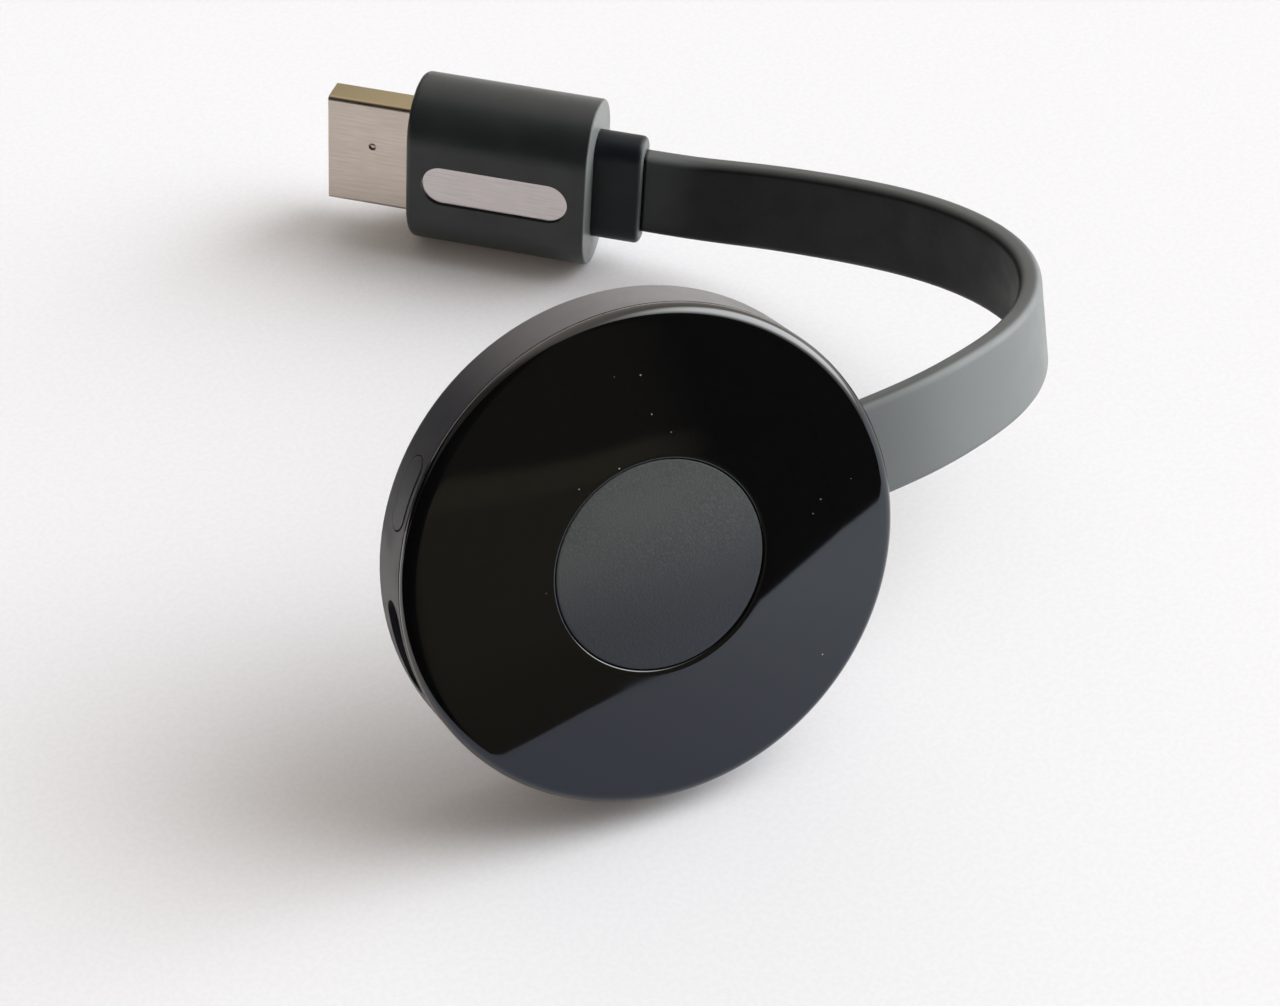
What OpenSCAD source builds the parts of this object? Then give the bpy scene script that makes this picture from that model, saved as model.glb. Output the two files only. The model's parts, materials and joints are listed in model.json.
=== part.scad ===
/* [Disc] */
// Diameter of the disc
disc_d = 51.9; // [48:0.1:60]
// Thickness of the disc at its middle
disc_t = 13.5; // [13.2:0.1:16]
// Height of the front cover's dome above the seam
dome_h = 2.8; // [2.4:0.1:3.2]
// Height of the straight matte band around the disc
band_h = 6.4; // [5.4:0.1:7]
// Distance of the flat back's edge in from the disc's edge
back_inset = 5.45; // [4.5:0.05:8]
// Angle that the disc leans back from upright, in degrees
lean = 23; // [15:0.5:35]

/* [Covers] */
// Side wall of the rear cover
side_wall = 1.4; // [1.2:0.05:1.6]
// Floor of the rear cover
back_wall = 1.2; // [1:0.05:1.5]
// Wall of the front cover
front_wall = 1.3; // [1.2:0.05:1.6]
// Width of the dark groove between the covers
groove_w = 0.25; // [0.2:0.05:0.4]
// Depth of that groove
groove_depth = 0.35; // [0.2:0.05:0.6]
// Height of the front cover's locating skirt
skirt_h = 1.2; // [0.8:0.1:1.4]
// Thickness of that skirt
skirt_t = 0.9; // [0.7:0.05:1.1]

/* [Medallion] */
// Diameter of the matte medallion
medallion_d = 21.8; // [18:0.1:26]
// Thickness of the medallion at its edge
medallion_t = 0.4; // [0.4:0.05:0.6]

/* [Reset button] */
// Length of the button's opening along the rim
button_l = 7.8; // [6:0.1:9]
// Height of the openings for the button and the port
opening_h = 3.2; // [3:0.1:3.4]
// Travel of the button
button_travel = 0.4; // [0.3:0.05:0.45]
// Place of the button around the disc, in degrees
button_angle = 150; // [144:1:156]

/* [Power port] */
// Length of the recess around the port
port_recess_l = 10.4; // [9:0.1:12]
// Depth of that recess
port_recess_depth = 0.9; // [0.7:0.05:1]
// Width of the port's metal shell
usb_w = 7.5; // [7.4:0.05:7.6]
// Height of the port's metal shell
usb_h = 2.6; // [2.5:0.05:2.7]
// Depth of the port's metal shell
usb_l = 5.2; // [5:0.1:5.6]
// Place of the port around the disc, in degrees
port_angle = 186; // [182:1:190]

/* [Status light] */
// Diameter of the light guide
guide_d = 1.4; // [1.2:0.1:1.6]
// Place of the light guide around the disc, in degrees
guide_angle = 222; // [215:1:228]

/* [Magnet and heat path] */
// Diameter of the magnet
magnet_d = 14; // [10:0.5:18]
// Thickness of the magnet
magnet_t = 1.8; // [1.5:0.1:2]
// Thickness of the steel plate over the magnet
yoke_t = 0.5; // [0.4:0.05:0.6]
// Distance of the heat spreaders' edge in from the flat back's edge
spreader_inset = 2; // [1.75:0.05:4]
// Thickness of the rear heat spreader
rear_spreader_t = 0.8; // [0.6:0.05:0.9]
// Thickness of the front heat spreader
front_spreader_t = 0.6; // [0.5:0.05:0.8]
// Thickness of the thermal pads
pad_t = 0.4; // [0.3:0.05:0.5]

/* [Circuit board] */
// Gap between the circuit board's edge and the side wall
board_gap = 2.05; // [1.55:0.05:2.55]
// Thickness of the circuit board
board_t = 0.8; // [0.8:0.1:1]
// Height of the rear shield can
rear_can_h = 1.4; // [1.3:0.05:1.5]
// Height of the front shield can
front_can_h = 1.6; // [1.5:0.05:1.7]
// Distance of the board's screws from the middle, as a share of the board's radius
post_share = 0.77; // [0.76:0.005:0.78]

/* [Ribbon cable] */
// Width of the flat cable
ribbon_w = 10.6; // [9:0.1:12]
// Thickness of the flat cable
ribbon_t = 2.5; // [2:0.1:3]
// Place of the cable's exit around the disc, in degrees
exit_angle = 6; // [4:1:8]

/* [Plug] */
// Width of the plug's housing
housing_w = 21; // [19:0.1:23]
// Thickness of the plug's housing
housing_t = 12.2; // [12:0.1:14]
// Length of the plug's housing
housing_l = 22; // [21:0.5:26]
// Wall of the plug's housing
housing_wall = 1.3; // [1:0.05:1.4]
// Length of the steel inlay
inlay_l = 17.9; // [12:0.1:19]
// Width of the steel inlay
inlay_w = 5; // [3:0.1:6]
// Length of the strain relief outside the housing
relief_l = 5.8; // [4:0.1:10]
// Width of the strain relief
relief_w = 14; // [13.4:0.1:14.6]
// Thickness of the strain relief
relief_t = 4.9; // [4.4:0.1:6]
// Length of the connector shell in front of the housing
shell_l = 10.7; // [10.5:0.1:12]
// Width of the connector shell
shell_w = 13.9; // [13.8:0.05:14]
// Thickness of the connector shell
shell_t = 4.45; // [4.4:0.05:4.5]

/* [Hidden] */

// Facets of a circle, and of each rounded corner
$fn = 96;
CORNER_STEPS = 5;
// Overrun of every cut past the face that it leaves
over = 0.5;
// Clearance between pieces that locate each other
fit_gap = 0.1;
// Clearance of flat and round pieces that are pressed or glued in
seat_gap = 0.05;

// Heights in the disc, from its back face to its front
disc_r = disc_d / 2;
back_r = disc_r - back_inset;
spreader_r = back_r - spreader_inset;
seam_z = disc_t - dome_h;
shoulder_z = seam_z - band_h;
band_top_z = seam_z - groove_w;
inner_r = disc_r - side_wall;
board_r = inner_r - board_gap;
post_r = board_r * post_share;
magnet_z = back_wall;
yoke_z = magnet_z + magnet_t;
rear_spreader_z = yoke_z + yoke_t;
rear_pad_z = rear_spreader_z + rear_spreader_t;
rear_can_z = rear_pad_z + pad_t;
board_z = rear_can_z + rear_can_h;
board_top_z = board_z + board_t;
front_pad_z = board_top_z + front_can_h;
front_spreader_z = front_pad_z + pad_t;
port_z = board_top_z + usb_h / 2;

// Roundings of the covers
shoulder_fillet = 1.2;
back_fillet = 0.8;
inner_fillet = 0.6;
rim_h = 0.6;
rim_bevel = 0.9;
rim_fillet = 0.45;
edge_sag = 1.5;
skirt_notch_gap = 0.45;

// The dome is a sphere's cap that falls by edge_sag at the rim
dome_r = (pow(disc_r, 2) + pow(edge_sag, 2)) / (2 * edge_sag);
DOME_STEPS = 24;
medallion_gap = 0.08;
medallion_step = 0.15;
medallion_bevel = 0.12;

// Posts, screws and the magnet's seat
POST_ANGLES = [90, 210, 330];
post_d = 4;
post_gap = 0.3;
screw_d = 1.4;
screw_head_d = 2.4;
screw_head_t = 0.6;
screw_bite = 2.6;
screw_slot_l = 1.6;
screw_slot_w = 0.4;
screw_slot_depth = 0.3;
seat_wall = 0.8;
yoke_overhang = 0.7;

// Sizes and places on the board, as shares of its radius, and heights
processor_share = [0.533, 0.533];
processor_h = 1.1;
processor_at_share = [-0.267, 0];
memory_share = [0.382, 0.533];
memory_h = 1;
memory_at_share = [0.258, 0];
wireless_share = [0.267, 0.267];
wireless_h = 0.8;
wireless_at_share = [0, -0.622];
crystal_share = [0.111, 0.089];
crystal_h = 0.6;
crystal_at_share = [0.276, -0.578];
flash_share = [0.489, 0.4];
flash_h = 0.9;
flash_at_share = [-0.187, 0];
power_share = [0.178, 0.178];
power_h = 0.8;
power_at_share = [0.24, 0.151];
inductor_share = [0.107, 0.107];
inductor_h = 1.1;
inductor_at_share = [0.187, -0.178];
inductor_pitch_share = 0.16;
inductor_count = 2;
capacitor_share = [0.044, 0.022];
capacitor_h = 0.5;
capacitor_pitch_share = 0.071;
capacitor_count = 9;
capacitor_row_shares = [0.533, 0.596];
chip_corner = 0.2;

// Shield cans
front_can_share = [1.045, 0.74];
front_can_at_share = [-0.044, 0];
rear_can_share = [0.978, 0.8];
front_can_size = board_r * front_can_share;
front_can_at = board_r * front_can_at_share;
rear_can_size = board_r * rear_can_share;
can_sheet = 0.2;
can_corner = 1.2;
lid_sheet = 0.15;
lid_skirt = 1;
lid_gap = 0.03;
lid_hole_d = 0.8;
lid_hole_pitch = 3;
lid_hole_columns = 5;
lid_hole_rows = 3;

// Antennas, as upright strips on the board
antenna_inset = 1.2;
antenna_t = 0.25;
antenna_h = 2.1;
antenna_arc_angle = 52;
upper_antenna_angle = 58;
lower_antenna_angle = 246;
antenna_foot_l = 1.4;
antenna_foot_w = 1.6;

// Power port
usb_sheet = 0.25;
usb_chamfer = 0.85;
usb_peg_d = 0.9;
usb_peg_at = [1.4, 2.9];
usb_set_back = 0.1;
usb_block_l = 1.2;
usb_tongue_w = 4;
usb_tongue_t = 0.65;
usb_tongue_up = 0.35;
usb_tongue_back = 0.5;
usb_contact_count = 5;
usb_contact_pitch = 0.65;
usb_contact_w = 0.35;
usb_contact_t = 0.15;
usb_contact_short = 0.3;

// Reset button and its switch, from the rim inwards
button_gap = 0.15;
button_flange = 0.4;
button_flange_t = 0.7;
button_stem_l = 0.6;
button_stem_w = 2;
button_stem_h = 1.2;
button_proud = 0.05;
contact_gap = 0.05;
switch_size = [3, 3.6, 1.9];
switch_up = 1;
plunger_out = 0.7;
plunger_in = 0.9;
plunger_w = 1.6;
plunger_h = 1;
dome_t = 0.2;

// Status light
light_size = [1.2, 1.6, 0.5];
guide_in = 4.6;
guide_sunk = 0.15;

// Cable entry in the disc
wire_d = 0.6;
wire_count = 8;
wire_pitch = 1.15;
wire_lap = 1.3;
cable_z = board_top_z + wire_d / 2;
sleeve_t = 0.4;
root_reach = 5.55;
grommet_reach = 2.25;
clamp_inset = 3.95;
exit_r = sqrt(pow(disc_r, 2) - pow(ribbon_w / 2 + sleeve_t, 2));
root_in_r = inner_r - root_reach;
grommet_flange = 0.5;
grommet_in_r = inner_r - grommet_reach;
ribbon_corner = 0.95;
RIBBON_STEPS = 2;
clamp_r = inner_r - clamp_inset;
clamp_w = 2.2;
clamp_t = 0.7;
clamp_corner = 0.7;
clamp_reach = 2.2;
boss_d = 3;
ledge_gap = 0.2;
notch_gap = 0.6;

// Plug, with X towards the tip, Y out of the inlay's face and Z along the width
plug_x = 8.4;
plug_y = 82.9;
plug_yaw = 37.5;
plug_roll = 9.5;
housing_front_fillet = 0.8;
housing_tail_fillet = 0.3;
relief_fillet = 0.7;
inlay_t = 0.4;
inlay_depth = 0.75;
inlay_up = -0.5;
inlay_shift = 0.05;
face_plate_t = 1.2;
neck_w = 12.4;
neck_t = 3.9;
relief_flange_t = 1;
relief_flange = 1;
shield_w = 15.6;
shield_t = 6;
shield_sheet = 0.4;
ferrule_t = 0.35;
ferrule_l = 2.4;
cable_end_in = 5.5;
shell_sheet = 0.35;
shell_in = 5;
shell_corner = 0.5;
shell_side_h = 3.7;
shell_foot_w = 12.2;
shell_dimple_d = 0.9;
shell_dimple_at = [5.2, 1.1];
insulator_gap = 0.05;
insulator_back = 0.8;
slot_w = 12;
contact_space = 1.1;
contact_t = 0.35;
contact_w = 0.45;
contact_pitch = 1;
contact_back = 1.1;
contact_lap = 2.5;
UPPER_CONTACTS = 10;
LOWER_CONTACTS = 9;
plug_board_w = 13;
plug_board_l = 10.5;

function unit(v) = v / norm(v);

// Arc of radius r that rounds the corner at b between a and c
function corner(a, b, c, r) =
    let (u = unit(a - b), v = unit(c - b), half = acos(u * v) / 2)
    let (middle = b + unit(u + v) * r / sin(half), reach = r / tan(half))
    let (from = b + u * reach - middle, to = b + v * reach - middle)
    let (start = atan2(from[1], from[0]), turn = atan2(cross(from, to), from * to))
    [for (i = [0:CORNER_STEPS])
        middle + r * [cos(start + turn * i / CORNER_STEPS), sin(start + turn * i / CORNER_STEPS)]];

// Outline with each corner rounded by its own radius
function rounded(points, radii) =
    let (n = len(points))
    [for (i = [0:n - 1]) each radii[i] == 0
        ? [points[i]]
        : corner(points[(i + n - 1) % n], points[i], points[(i + 1) % n], radii[i])];

function box_points(l, w) = [[-l / 2, -w / 2], [l / 2, -w / 2], [l / 2, w / 2], [-l / 2, w / 2]];

function rounded_box(l, w, r) = rounded(box_points(l, w), [r, r, r, r]);

// Height of the dome at a distance from the disc's middle
function dome_z(r) = disc_t - dome_r + sqrt(pow(dome_r, 2) - pow(r, 2));

// Outside of the rear cover as [radius, height]
REAR_PROFILE = rounded(
    [[0, 0], [back_r, 0], [disc_r, shoulder_z], [disc_r, band_top_z], [0, band_top_z]],
    [0, back_fillet, shoulder_fillet, 0, 0]);

// Inside of the rear cover's cone, one side wall in from its outside
cone_run = disc_r - back_r;
cone_slant = norm([cone_run, shoulder_z]);
function inner_cone_r(z) = back_r + (z * cone_run - side_wall * cone_slant) / shoulder_z;
inner_shoulder_z = (inner_r - inner_cone_r(0)) * shoulder_z / cone_run;

function cavity_profile(gap) = rounded(
    [[0, back_wall + gap], [inner_cone_r(back_wall) - gap, back_wall + gap],
     [inner_r - gap, inner_shoulder_z + gap], [inner_r - gap, disc_t], [0, disc_t]],
    [0, inner_fillet, inner_fillet, 0, 0]);

// Outside of the front cover, from its edge to the top of the dome
function front_profile(r_edge) = concat(
    [[0, seam_z], [disc_r, seam_z]],
    corner([disc_r, seam_z], [disc_r, seam_z + rim_h],
           [disc_r - rim_bevel, dome_z(disc_r - rim_bevel)], rim_fillet),
    [for (i = [0:DOME_STEPS]) let (r = r_edge * (1 - i / DOME_STEPS)) [r, dome_z(r)]]);

// Where the disc stands: the lowest point of the profile at z = 0, and its depth centred
function lowest(points) = min([for (p = points) -p[0] * cos(lean) + p[1] * sin(lean)]);
function nearest(points) = min([for (p = points) -p[0] * sin(lean) - p[1] * cos(lean)]);
function farthest(points) = max([for (p = points) p[0] * sin(lean) - p[1] * cos(lean)]);
DISC_PROFILE = concat(REAR_PROFILE, front_profile(disc_r - rim_bevel));
disc_lift = -lowest(DISC_PROFILE);
disc_shift = -(nearest(DISC_PROFILE) + farthest(DISC_PROFILE)) / 2;

module in_disc() {
    translate([0, disc_shift, disc_lift])
        rotate([90 - lean, 0, 0])
            children();
}

// X points out of the rim at an angle, Z points to the front
module at_rim(angle, z) {
    rotate([0, 0, angle])
        translate([0, 0, z])
            children();
}

plug_lift = (housing_w - housing_t) / 2 * cos(plug_roll) + housing_t / 2;
module in_plug() {
    translate([plug_x, plug_y, plug_lift])
        rotate([plug_roll, 0, 180 - plug_yaw])
            children();
}

// A pill in the YZ plane, from x = 0 for a depth along X
module pill_along_x(l, h, depth) {
    rotate([90, 0, 90])
        linear_extrude(depth) {
            square([l - h, h], center = true);
            for (s = [-1, 1])
                translate([s * (l - h) / 2, 0])
                    circle(d = h);
        }
}

// An outline given as [y, z], from x = 0 for a depth along X
module outline_along_x(points, depth) {
    rotate([90, 0, 90])
        linear_extrude(depth)
            polygon(points);
}

// A half outline of [radius, x] swept round both ends of a pill of a given straight width
module pill_body(profile, straight) {
    for (s = [-1, 1])
        translate([0, 0, s * straight / 2])
            rotate([0, 90, 0])
                rotate_extrude()
                    polygon(profile);
    translate([0, 0, -straight / 2])
        linear_extrude(straight)
            polygon(concat(
                [for (p = profile) [p[1], p[0]]],
                [for (i = [len(profile) - 1:-1:0]) [profile[i][1], -profile[i][0]]]));
}

module chip(share, at_share, h, z) {
    size = board_r * share;
    at = board_r * at_share;
    translate([at[0], at[1], z])
        linear_extrude(h)
            polygon(rounded_box(size[0], size[1], chip_corner));
}

// A slotted screw whose head's underside is at z = 0
module screw() {
    difference() {
        union() {
            cylinder(d = screw_head_d, h = screw_head_t);
            translate([0, 0, -screw_bite])
                cylinder(d = screw_d, h = screw_bite);
        }
        for (a = [0, 90])
            rotate([0, 0, a])
                translate([-screw_slot_l / 2, -screw_slot_w / 2, screw_head_t - screw_slot_depth])
                    cube([screw_slot_l, screw_slot_w, screw_slot_depth + over]);
    }
}

module at_posts(z) {
    for (a = POST_ANGLES)
        rotate([0, 0, a])
            translate([post_r, 0, z])
                children();
}

screw_hole_d = screw_d + 2 * seat_gap;
clamp_screw_y = ribbon_w / 2 + clamp_reach;
clamp_z = cable_z + ribbon_t / 2;
module at_clamp_screws(z) {
    for (s = [-1, 1])
        at_rim(exit_angle, z)
            translate([clamp_r, s * clamp_screw_y, 0])
                children();
}

// The flat cable's outline as [across its width, through its thickness]
function ribbon_corner_points(cx, cy, start) = [for (i = [0:RIBBON_STEPS])
    [cx, cy] + ribbon_corner * [cos(start + 90 * i / RIBBON_STEPS), sin(start + 90 * i / RIBBON_STEPS)]];
ribbon_cx = ribbon_w / 2 - ribbon_corner;
ribbon_cy = ribbon_t / 2 - ribbon_corner;
RIBBON_OUTLINE = concat(
    ribbon_corner_points(ribbon_cx, ribbon_cy, 0), ribbon_corner_points(-ribbon_cx, ribbon_cy, 90),
    ribbon_corner_points(-ribbon_cx, -ribbon_cy, 180), ribbon_corner_points(ribbon_cx, -ribbon_cy, 270));

// The port's shell outline as [y, z] about the port's middle, drawn in by a sheet
function usb_outline(sheet) =
    let (w = usb_w / 2 - sheet, h = usb_h / 2 - sheet, c = usb_chamfer)
    [[-w, h], [w, h], [w, -h + c], [w - c, -h], [-w + c, -h], [-w, -h + c]];

usb_mouth_r = disc_r - port_recess_depth - usb_set_back;
usb_back_r = usb_mouth_r - usb_l;

// Button chain, from the wall inwards
cap_l = button_l - 2 * button_gap;
cap_h = opening_h - 2 * button_gap;
flange_l = button_l + 2 * button_flange;
flange_h = opening_h + 2 * button_flange;
flange_out_r = sqrt(pow(inner_r, 2) - pow(flange_l / 2, 2)) - fit_gap;
flange_in_r = flange_out_r - button_flange_t;
stem_r = flange_in_r - button_stem_l;
plunger_tip_r = stem_r - contact_gap;
switch_front_r = plunger_tip_r - plunger_out;
plunger_z = board_top_z + switch_up;
plunger_back_r = switch_front_r - plunger_in;
switch_hole_r = plunger_back_r - button_travel - dome_t - fit_gap;

// Posts and seats start inside the rear cover's floor, so that they are one with it
floor_z = back_wall - over;

module rear_cover() {
    color("#3d4044")
    in_disc() {
        difference() {
            union() {
                difference() {
                    rotate_extrude() polygon(REAR_PROFILE);
                    rotate_extrude() polygon(cavity_profile(0));
                }
                intersection() {
                    rotate_extrude() polygon(REAR_PROFILE);
                    union() {
                        at_posts(floor_z) cylinder(d = post_d, h = board_z - floor_z);
                        at_clamp_screws(floor_z) cylinder(d = boss_d, h = clamp_z - floor_z);
                        cable_ledge();
                    }
                }
                magnet_seat();
            }
            at_posts(board_top_z - screw_bite) cylinder(d = screw_hole_d, h = screw_bite);
            at_clamp_screws(clamp_z + clamp_t - screw_bite) cylinder(d = screw_hole_d, h = screw_bite);
            rim_openings();
        }
    }
}

module magnet_seat() {
    seat_in_d = magnet_d + 2 * seat_gap;
    translate([0, 0, floor_z])
        difference() {
            cylinder(d = seat_in_d + 2 * seat_wall, h = magnet_t + over);
            translate([0, 0, over])
                cylinder(d = seat_in_d, h = magnet_t + over);
        }
}

// The rib that carries the flat cable behind its clamp
module cable_ledge() {
    at_rim(exit_angle, 0)
        translate([root_in_r + ledge_gap, -ribbon_w / 2, floor_z])
            cube([grommet_in_r - root_in_r - 2 * ledge_gap, ribbon_w, cable_z - ribbon_t / 2 - floor_z]);
}

module rim_openings() {
    at_rim(button_angle, port_z)
        translate([inner_r - 2 * over, 0, 0])
            pill_along_x(button_l, opening_h, side_wall + 3 * over);
    at_rim(port_angle, port_z) {
        translate([disc_r - port_recess_depth, 0, 0])
            pill_along_x(port_recess_l, opening_h, port_recess_depth + over);
        translate([usb_back_r, -usb_w / 2 - fit_gap, -usb_h / 2 - fit_gap])
            cube([usb_l + over, usb_w + 2 * fit_gap, usb_h + 2 * fit_gap]);
    }
    at_rim(guide_angle, port_z)
        translate([inner_r - over, 0, 0])
            rotate([0, 90, 0])
                cylinder(d = guide_d + 2 * seat_gap, h = side_wall + 2 * over);
    at_rim(exit_angle, cable_z)
        translate([grommet_in_r, 0, 0])
            outline_along_x(sleeve_outline(0), disc_r - grommet_in_r + over);
}

function sleeve_outline(extra) =
    let (grow = sleeve_t + extra)
    rounded_box(ribbon_w + 2 * grow, ribbon_t + 2 * grow, ribbon_corner + grow);

module front_cover() {
    color("#101114")
    in_disc() {
        difference() {
            rotate_extrude() polygon(front_profile(disc_r - rim_bevel));
            front_hollow();
            medallion_recess();
        }
        difference() {
            skirt_z = seam_z - skirt_h;
            skirt_r = inner_r - fit_gap;
            translate([0, 0, skirt_z]) cylinder(r = skirt_r, h = skirt_h + over);
            translate([0, 0, skirt_z - over]) cylinder(r = skirt_r - skirt_t, h = skirt_h + 3 * over);
            skirt_notch(port_angle, usb_w);
            skirt_notch(button_angle, flange_l);
        }
    }
}

// The hollow under the dome, one front wall in from its outside
module front_hollow() {
    hollow_r = inner_r - fit_gap - skirt_t;
    rotate_extrude()
        polygon(concat(
            [[0, seam_z - over], [hollow_r, seam_z - over]],
            [for (i = [0:DOME_STEPS])
                let (r = hollow_r * (1 - i / DOME_STEPS))
                [r, dome_z(r) - front_wall]]));
}

module medallion_recess() {
    translate([0, 0, medallion_z])
        cylinder(d = medallion_d + 2 * medallion_gap, h = medallion_t + dome_h);
}

module skirt_notch(angle, w) {
    at_rim(angle, seam_z - skirt_h - over)
        translate([inner_r - fit_gap - skirt_t - over, -w / 2 - skirt_notch_gap, 0])
            cube([skirt_t + fit_gap + 2 * over, w + 2 * skirt_notch_gap, skirt_h + over]);
}

medallion_r = medallion_d / 2;
medallion_z = dome_z(medallion_r) - medallion_step - medallion_t;
module front_medallion() {
    color("#43474a")
    in_disc()
        rotate_extrude()
            polygon(concat(
                [[0, medallion_z], [medallion_r, medallion_z],
                 [medallion_r, dome_z(medallion_r) - medallion_step - medallion_bevel]],
                [for (i = [0:DOME_STEPS])
                    let (r = (medallion_r - medallion_bevel) * (1 - i / DOME_STEPS))
                    [r, dome_z(r) - medallion_step]]));
}

module seam_gasket() {
    color("#050506")
    in_disc()
        translate([0, 0, band_top_z])
            difference() {
                cylinder(r = disc_r - groove_depth, h = groove_w);
                translate([0, 0, -over]) cylinder(r = inner_r, h = groove_w + 2 * over);
            }
}

module magnet() {
    color("#b9bcc0")
    in_disc()
        translate([0, 0, magnet_z])
            cylinder(d = magnet_d, h = magnet_t);
}

module magnet_yoke() {
    color("#8d9196")
    in_disc()
        translate([0, 0, yoke_z])
            cylinder(d = magnet_d + 2 * yoke_overhang, h = yoke_t);
}

module rear_heat_spreader() {
    color("#aeb2b6")
    in_disc()
        difference() {
            translate([0, 0, rear_spreader_z]) cylinder(r = spreader_r, h = rear_spreader_t);
            at_posts(rear_spreader_z - over)
                cylinder(d = post_d + 2 * post_gap, h = rear_spreader_t + 2 * over);
        }
}

module rear_thermal_pad() {
    color("#5f8f86")
    in_disc()
        translate([0, 0, rear_pad_z])
            linear_extrude(pad_t)
                polygon(rounded_box(rear_can_size[0] - 2 * can_corner, rear_can_size[1] - 2 * can_corner,
                                    can_corner));
}

module rear_shield_can() {
    color("#c3c6c8")
    in_disc()
        translate([0, 0, rear_can_z])
            difference() {
                linear_extrude(rear_can_h)
                    polygon(rounded_box(rear_can_size[0], rear_can_size[1], can_corner));
                translate([0, 0, can_sheet])
                    linear_extrude(rear_can_h)
                        polygon(rounded_box(rear_can_size[0] - 2 * can_sheet,
                                            rear_can_size[1] - 2 * can_sheet, can_corner - can_sheet));
            }
}

module flash_chip() {
    color("#1b1c1f")
    in_disc() chip(flash_share, flash_at_share, flash_h, board_z - flash_h);
}

module power_chip() {
    color("#1b1c1f")
    in_disc() chip(power_share, power_at_share, power_h, board_z - power_h);
}

module power_inductors() {
    color("#4a4a4c")
    in_disc()
        for (i = [0:inductor_count - 1])
            chip(inductor_share, inductor_at_share + [i * inductor_pitch_share, 0],
                 inductor_h, board_z - inductor_h);
}

module main_board() {
    notch_w = 2 * (clamp_screw_y + boss_d / 2 + notch_gap);
    notch_r = root_in_r - wire_lap;
    color("#1f5a3a")
    in_disc()
        difference() {
            translate([0, 0, board_z]) cylinder(r = board_r, h = board_t);
            at_posts(board_z - over) cylinder(d = screw_hole_d, h = board_t + 2 * over);
            at_rim(exit_angle, board_z - over)
                translate([notch_r, -notch_w / 2, 0])
                    cube([disc_r, notch_w, board_t + 2 * over]);
            at_usb_pegs(board_z - over) cylinder(d = usb_peg_d + 2 * seat_gap, h = board_t + 2 * over);
        }
}

module processor_chip() {
    color("#202225")
    in_disc() chip(processor_share, processor_at_share, processor_h, board_top_z);
}

module processor_pad() {
    color("#5f8f86")
    in_disc()
        chip(processor_share, processor_at_share, front_can_h - lid_sheet - processor_h,
             board_top_z + processor_h);
}

module memory_chip() {
    color("#202225")
    in_disc() chip(memory_share, memory_at_share, memory_h, board_top_z);
}

module wireless_chip() {
    color("#202225")
    in_disc() chip(wireless_share, wireless_at_share, wireless_h, board_top_z);
}

module clock_crystal() {
    color("#c9c4b4")
    in_disc() chip(crystal_share, crystal_at_share, crystal_h, board_top_z);
}

module board_capacitors() {
    color("#b08a5c")
    in_disc()
        for (y = capacitor_row_shares, i = [0:capacitor_count - 1])
            chip(capacitor_share, [(i - (capacitor_count - 1) / 2) * capacitor_pitch_share, y],
                 capacitor_h, board_top_z);
}

module front_shield_frame() {
    l = front_can_size[0];
    w = front_can_size[1];
    color("#c3c6c8")
    in_disc()
        translate([front_can_at[0], front_can_at[1], board_top_z])
            linear_extrude(front_can_h - lid_sheet)
                difference() {
                    polygon(rounded_box(l, w, can_corner));
                    polygon(rounded_box(l - 2 * can_sheet, w - 2 * can_sheet, can_corner - can_sheet));
                }
}

module front_shield_lid() {
    in_l = front_can_size[0] + 2 * lid_gap;
    in_w = front_can_size[1] + 2 * lid_gap;
    lid_z = front_pad_z - lid_sheet;
    color("#d2d4d6")
    in_disc()
        translate([front_can_at[0], front_can_at[1], 0])
            difference() {
                translate([0, 0, front_pad_z - lid_skirt])
                    linear_extrude(lid_skirt)
                        polygon(rounded_box(in_l + 2 * lid_sheet, in_w + 2 * lid_sheet,
                                            can_corner + lid_gap + lid_sheet));
                translate([0, 0, lid_z - lid_skirt])
                    linear_extrude(lid_skirt)
                        polygon(rounded_box(in_l, in_w, can_corner + lid_gap));
                for (i = [0:lid_hole_columns - 1], j = [0:lid_hole_rows - 1])
                    translate([(i - (lid_hole_columns - 1) / 2) * lid_hole_pitch,
                               (j - (lid_hole_rows - 1) / 2) * lid_hole_pitch, lid_z - over])
                        cylinder(d = lid_hole_d, h = lid_sheet + 2 * over);
            }
}

module front_thermal_pad() {
    color("#5f8f86")
    in_disc()
        translate([front_can_at[0], front_can_at[1], front_pad_z])
            linear_extrude(pad_t)
                polygon(rounded_box(front_can_size[0] - 2 * can_corner,
                                    front_can_size[1] - 2 * can_corner, can_corner));
}

module front_heat_spreader() {
    color("#aeb2b6")
    in_disc()
        translate([0, 0, front_spreader_z])
            cylinder(r = spreader_r, h = front_spreader_t);
}

// An upright strip that follows the board's edge, with a foot at each end
module antenna(angle) {
    strip_r = board_r - antenna_inset;
    rotate([0, 0, angle])
        translate([0, 0, board_top_z]) {
            rotate_extrude(angle = antenna_arc_angle)
                translate([strip_r, 0])
                    square([antenna_t, antenna_h]);
            for (a = [0, antenna_arc_angle])
                rotate([0, 0, a - sign(a) * atan(antenna_foot_w / strip_r)])
                    translate([strip_r - antenna_foot_l, 0, 0])
                        cube([antenna_foot_l + antenna_t / 2, antenna_foot_w, antenna_t]);
        }
}

module upper_antenna() {
    color("#c8a24a")
    in_disc() antenna(upper_antenna_angle);
}

module lower_antenna() {
    color("#c8a24a")
    in_disc() antenna(lower_antenna_angle);
}

module board_screws() {
    color("#9a9da1")
    in_disc() at_posts(board_top_z) screw();
}

module at_usb_pegs(z) {
    for (s = [-1, 1])
        at_rim(port_angle, z)
            translate([usb_back_r + usb_peg_at[0], s * usb_peg_at[1], 0])
                children();
}

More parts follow.
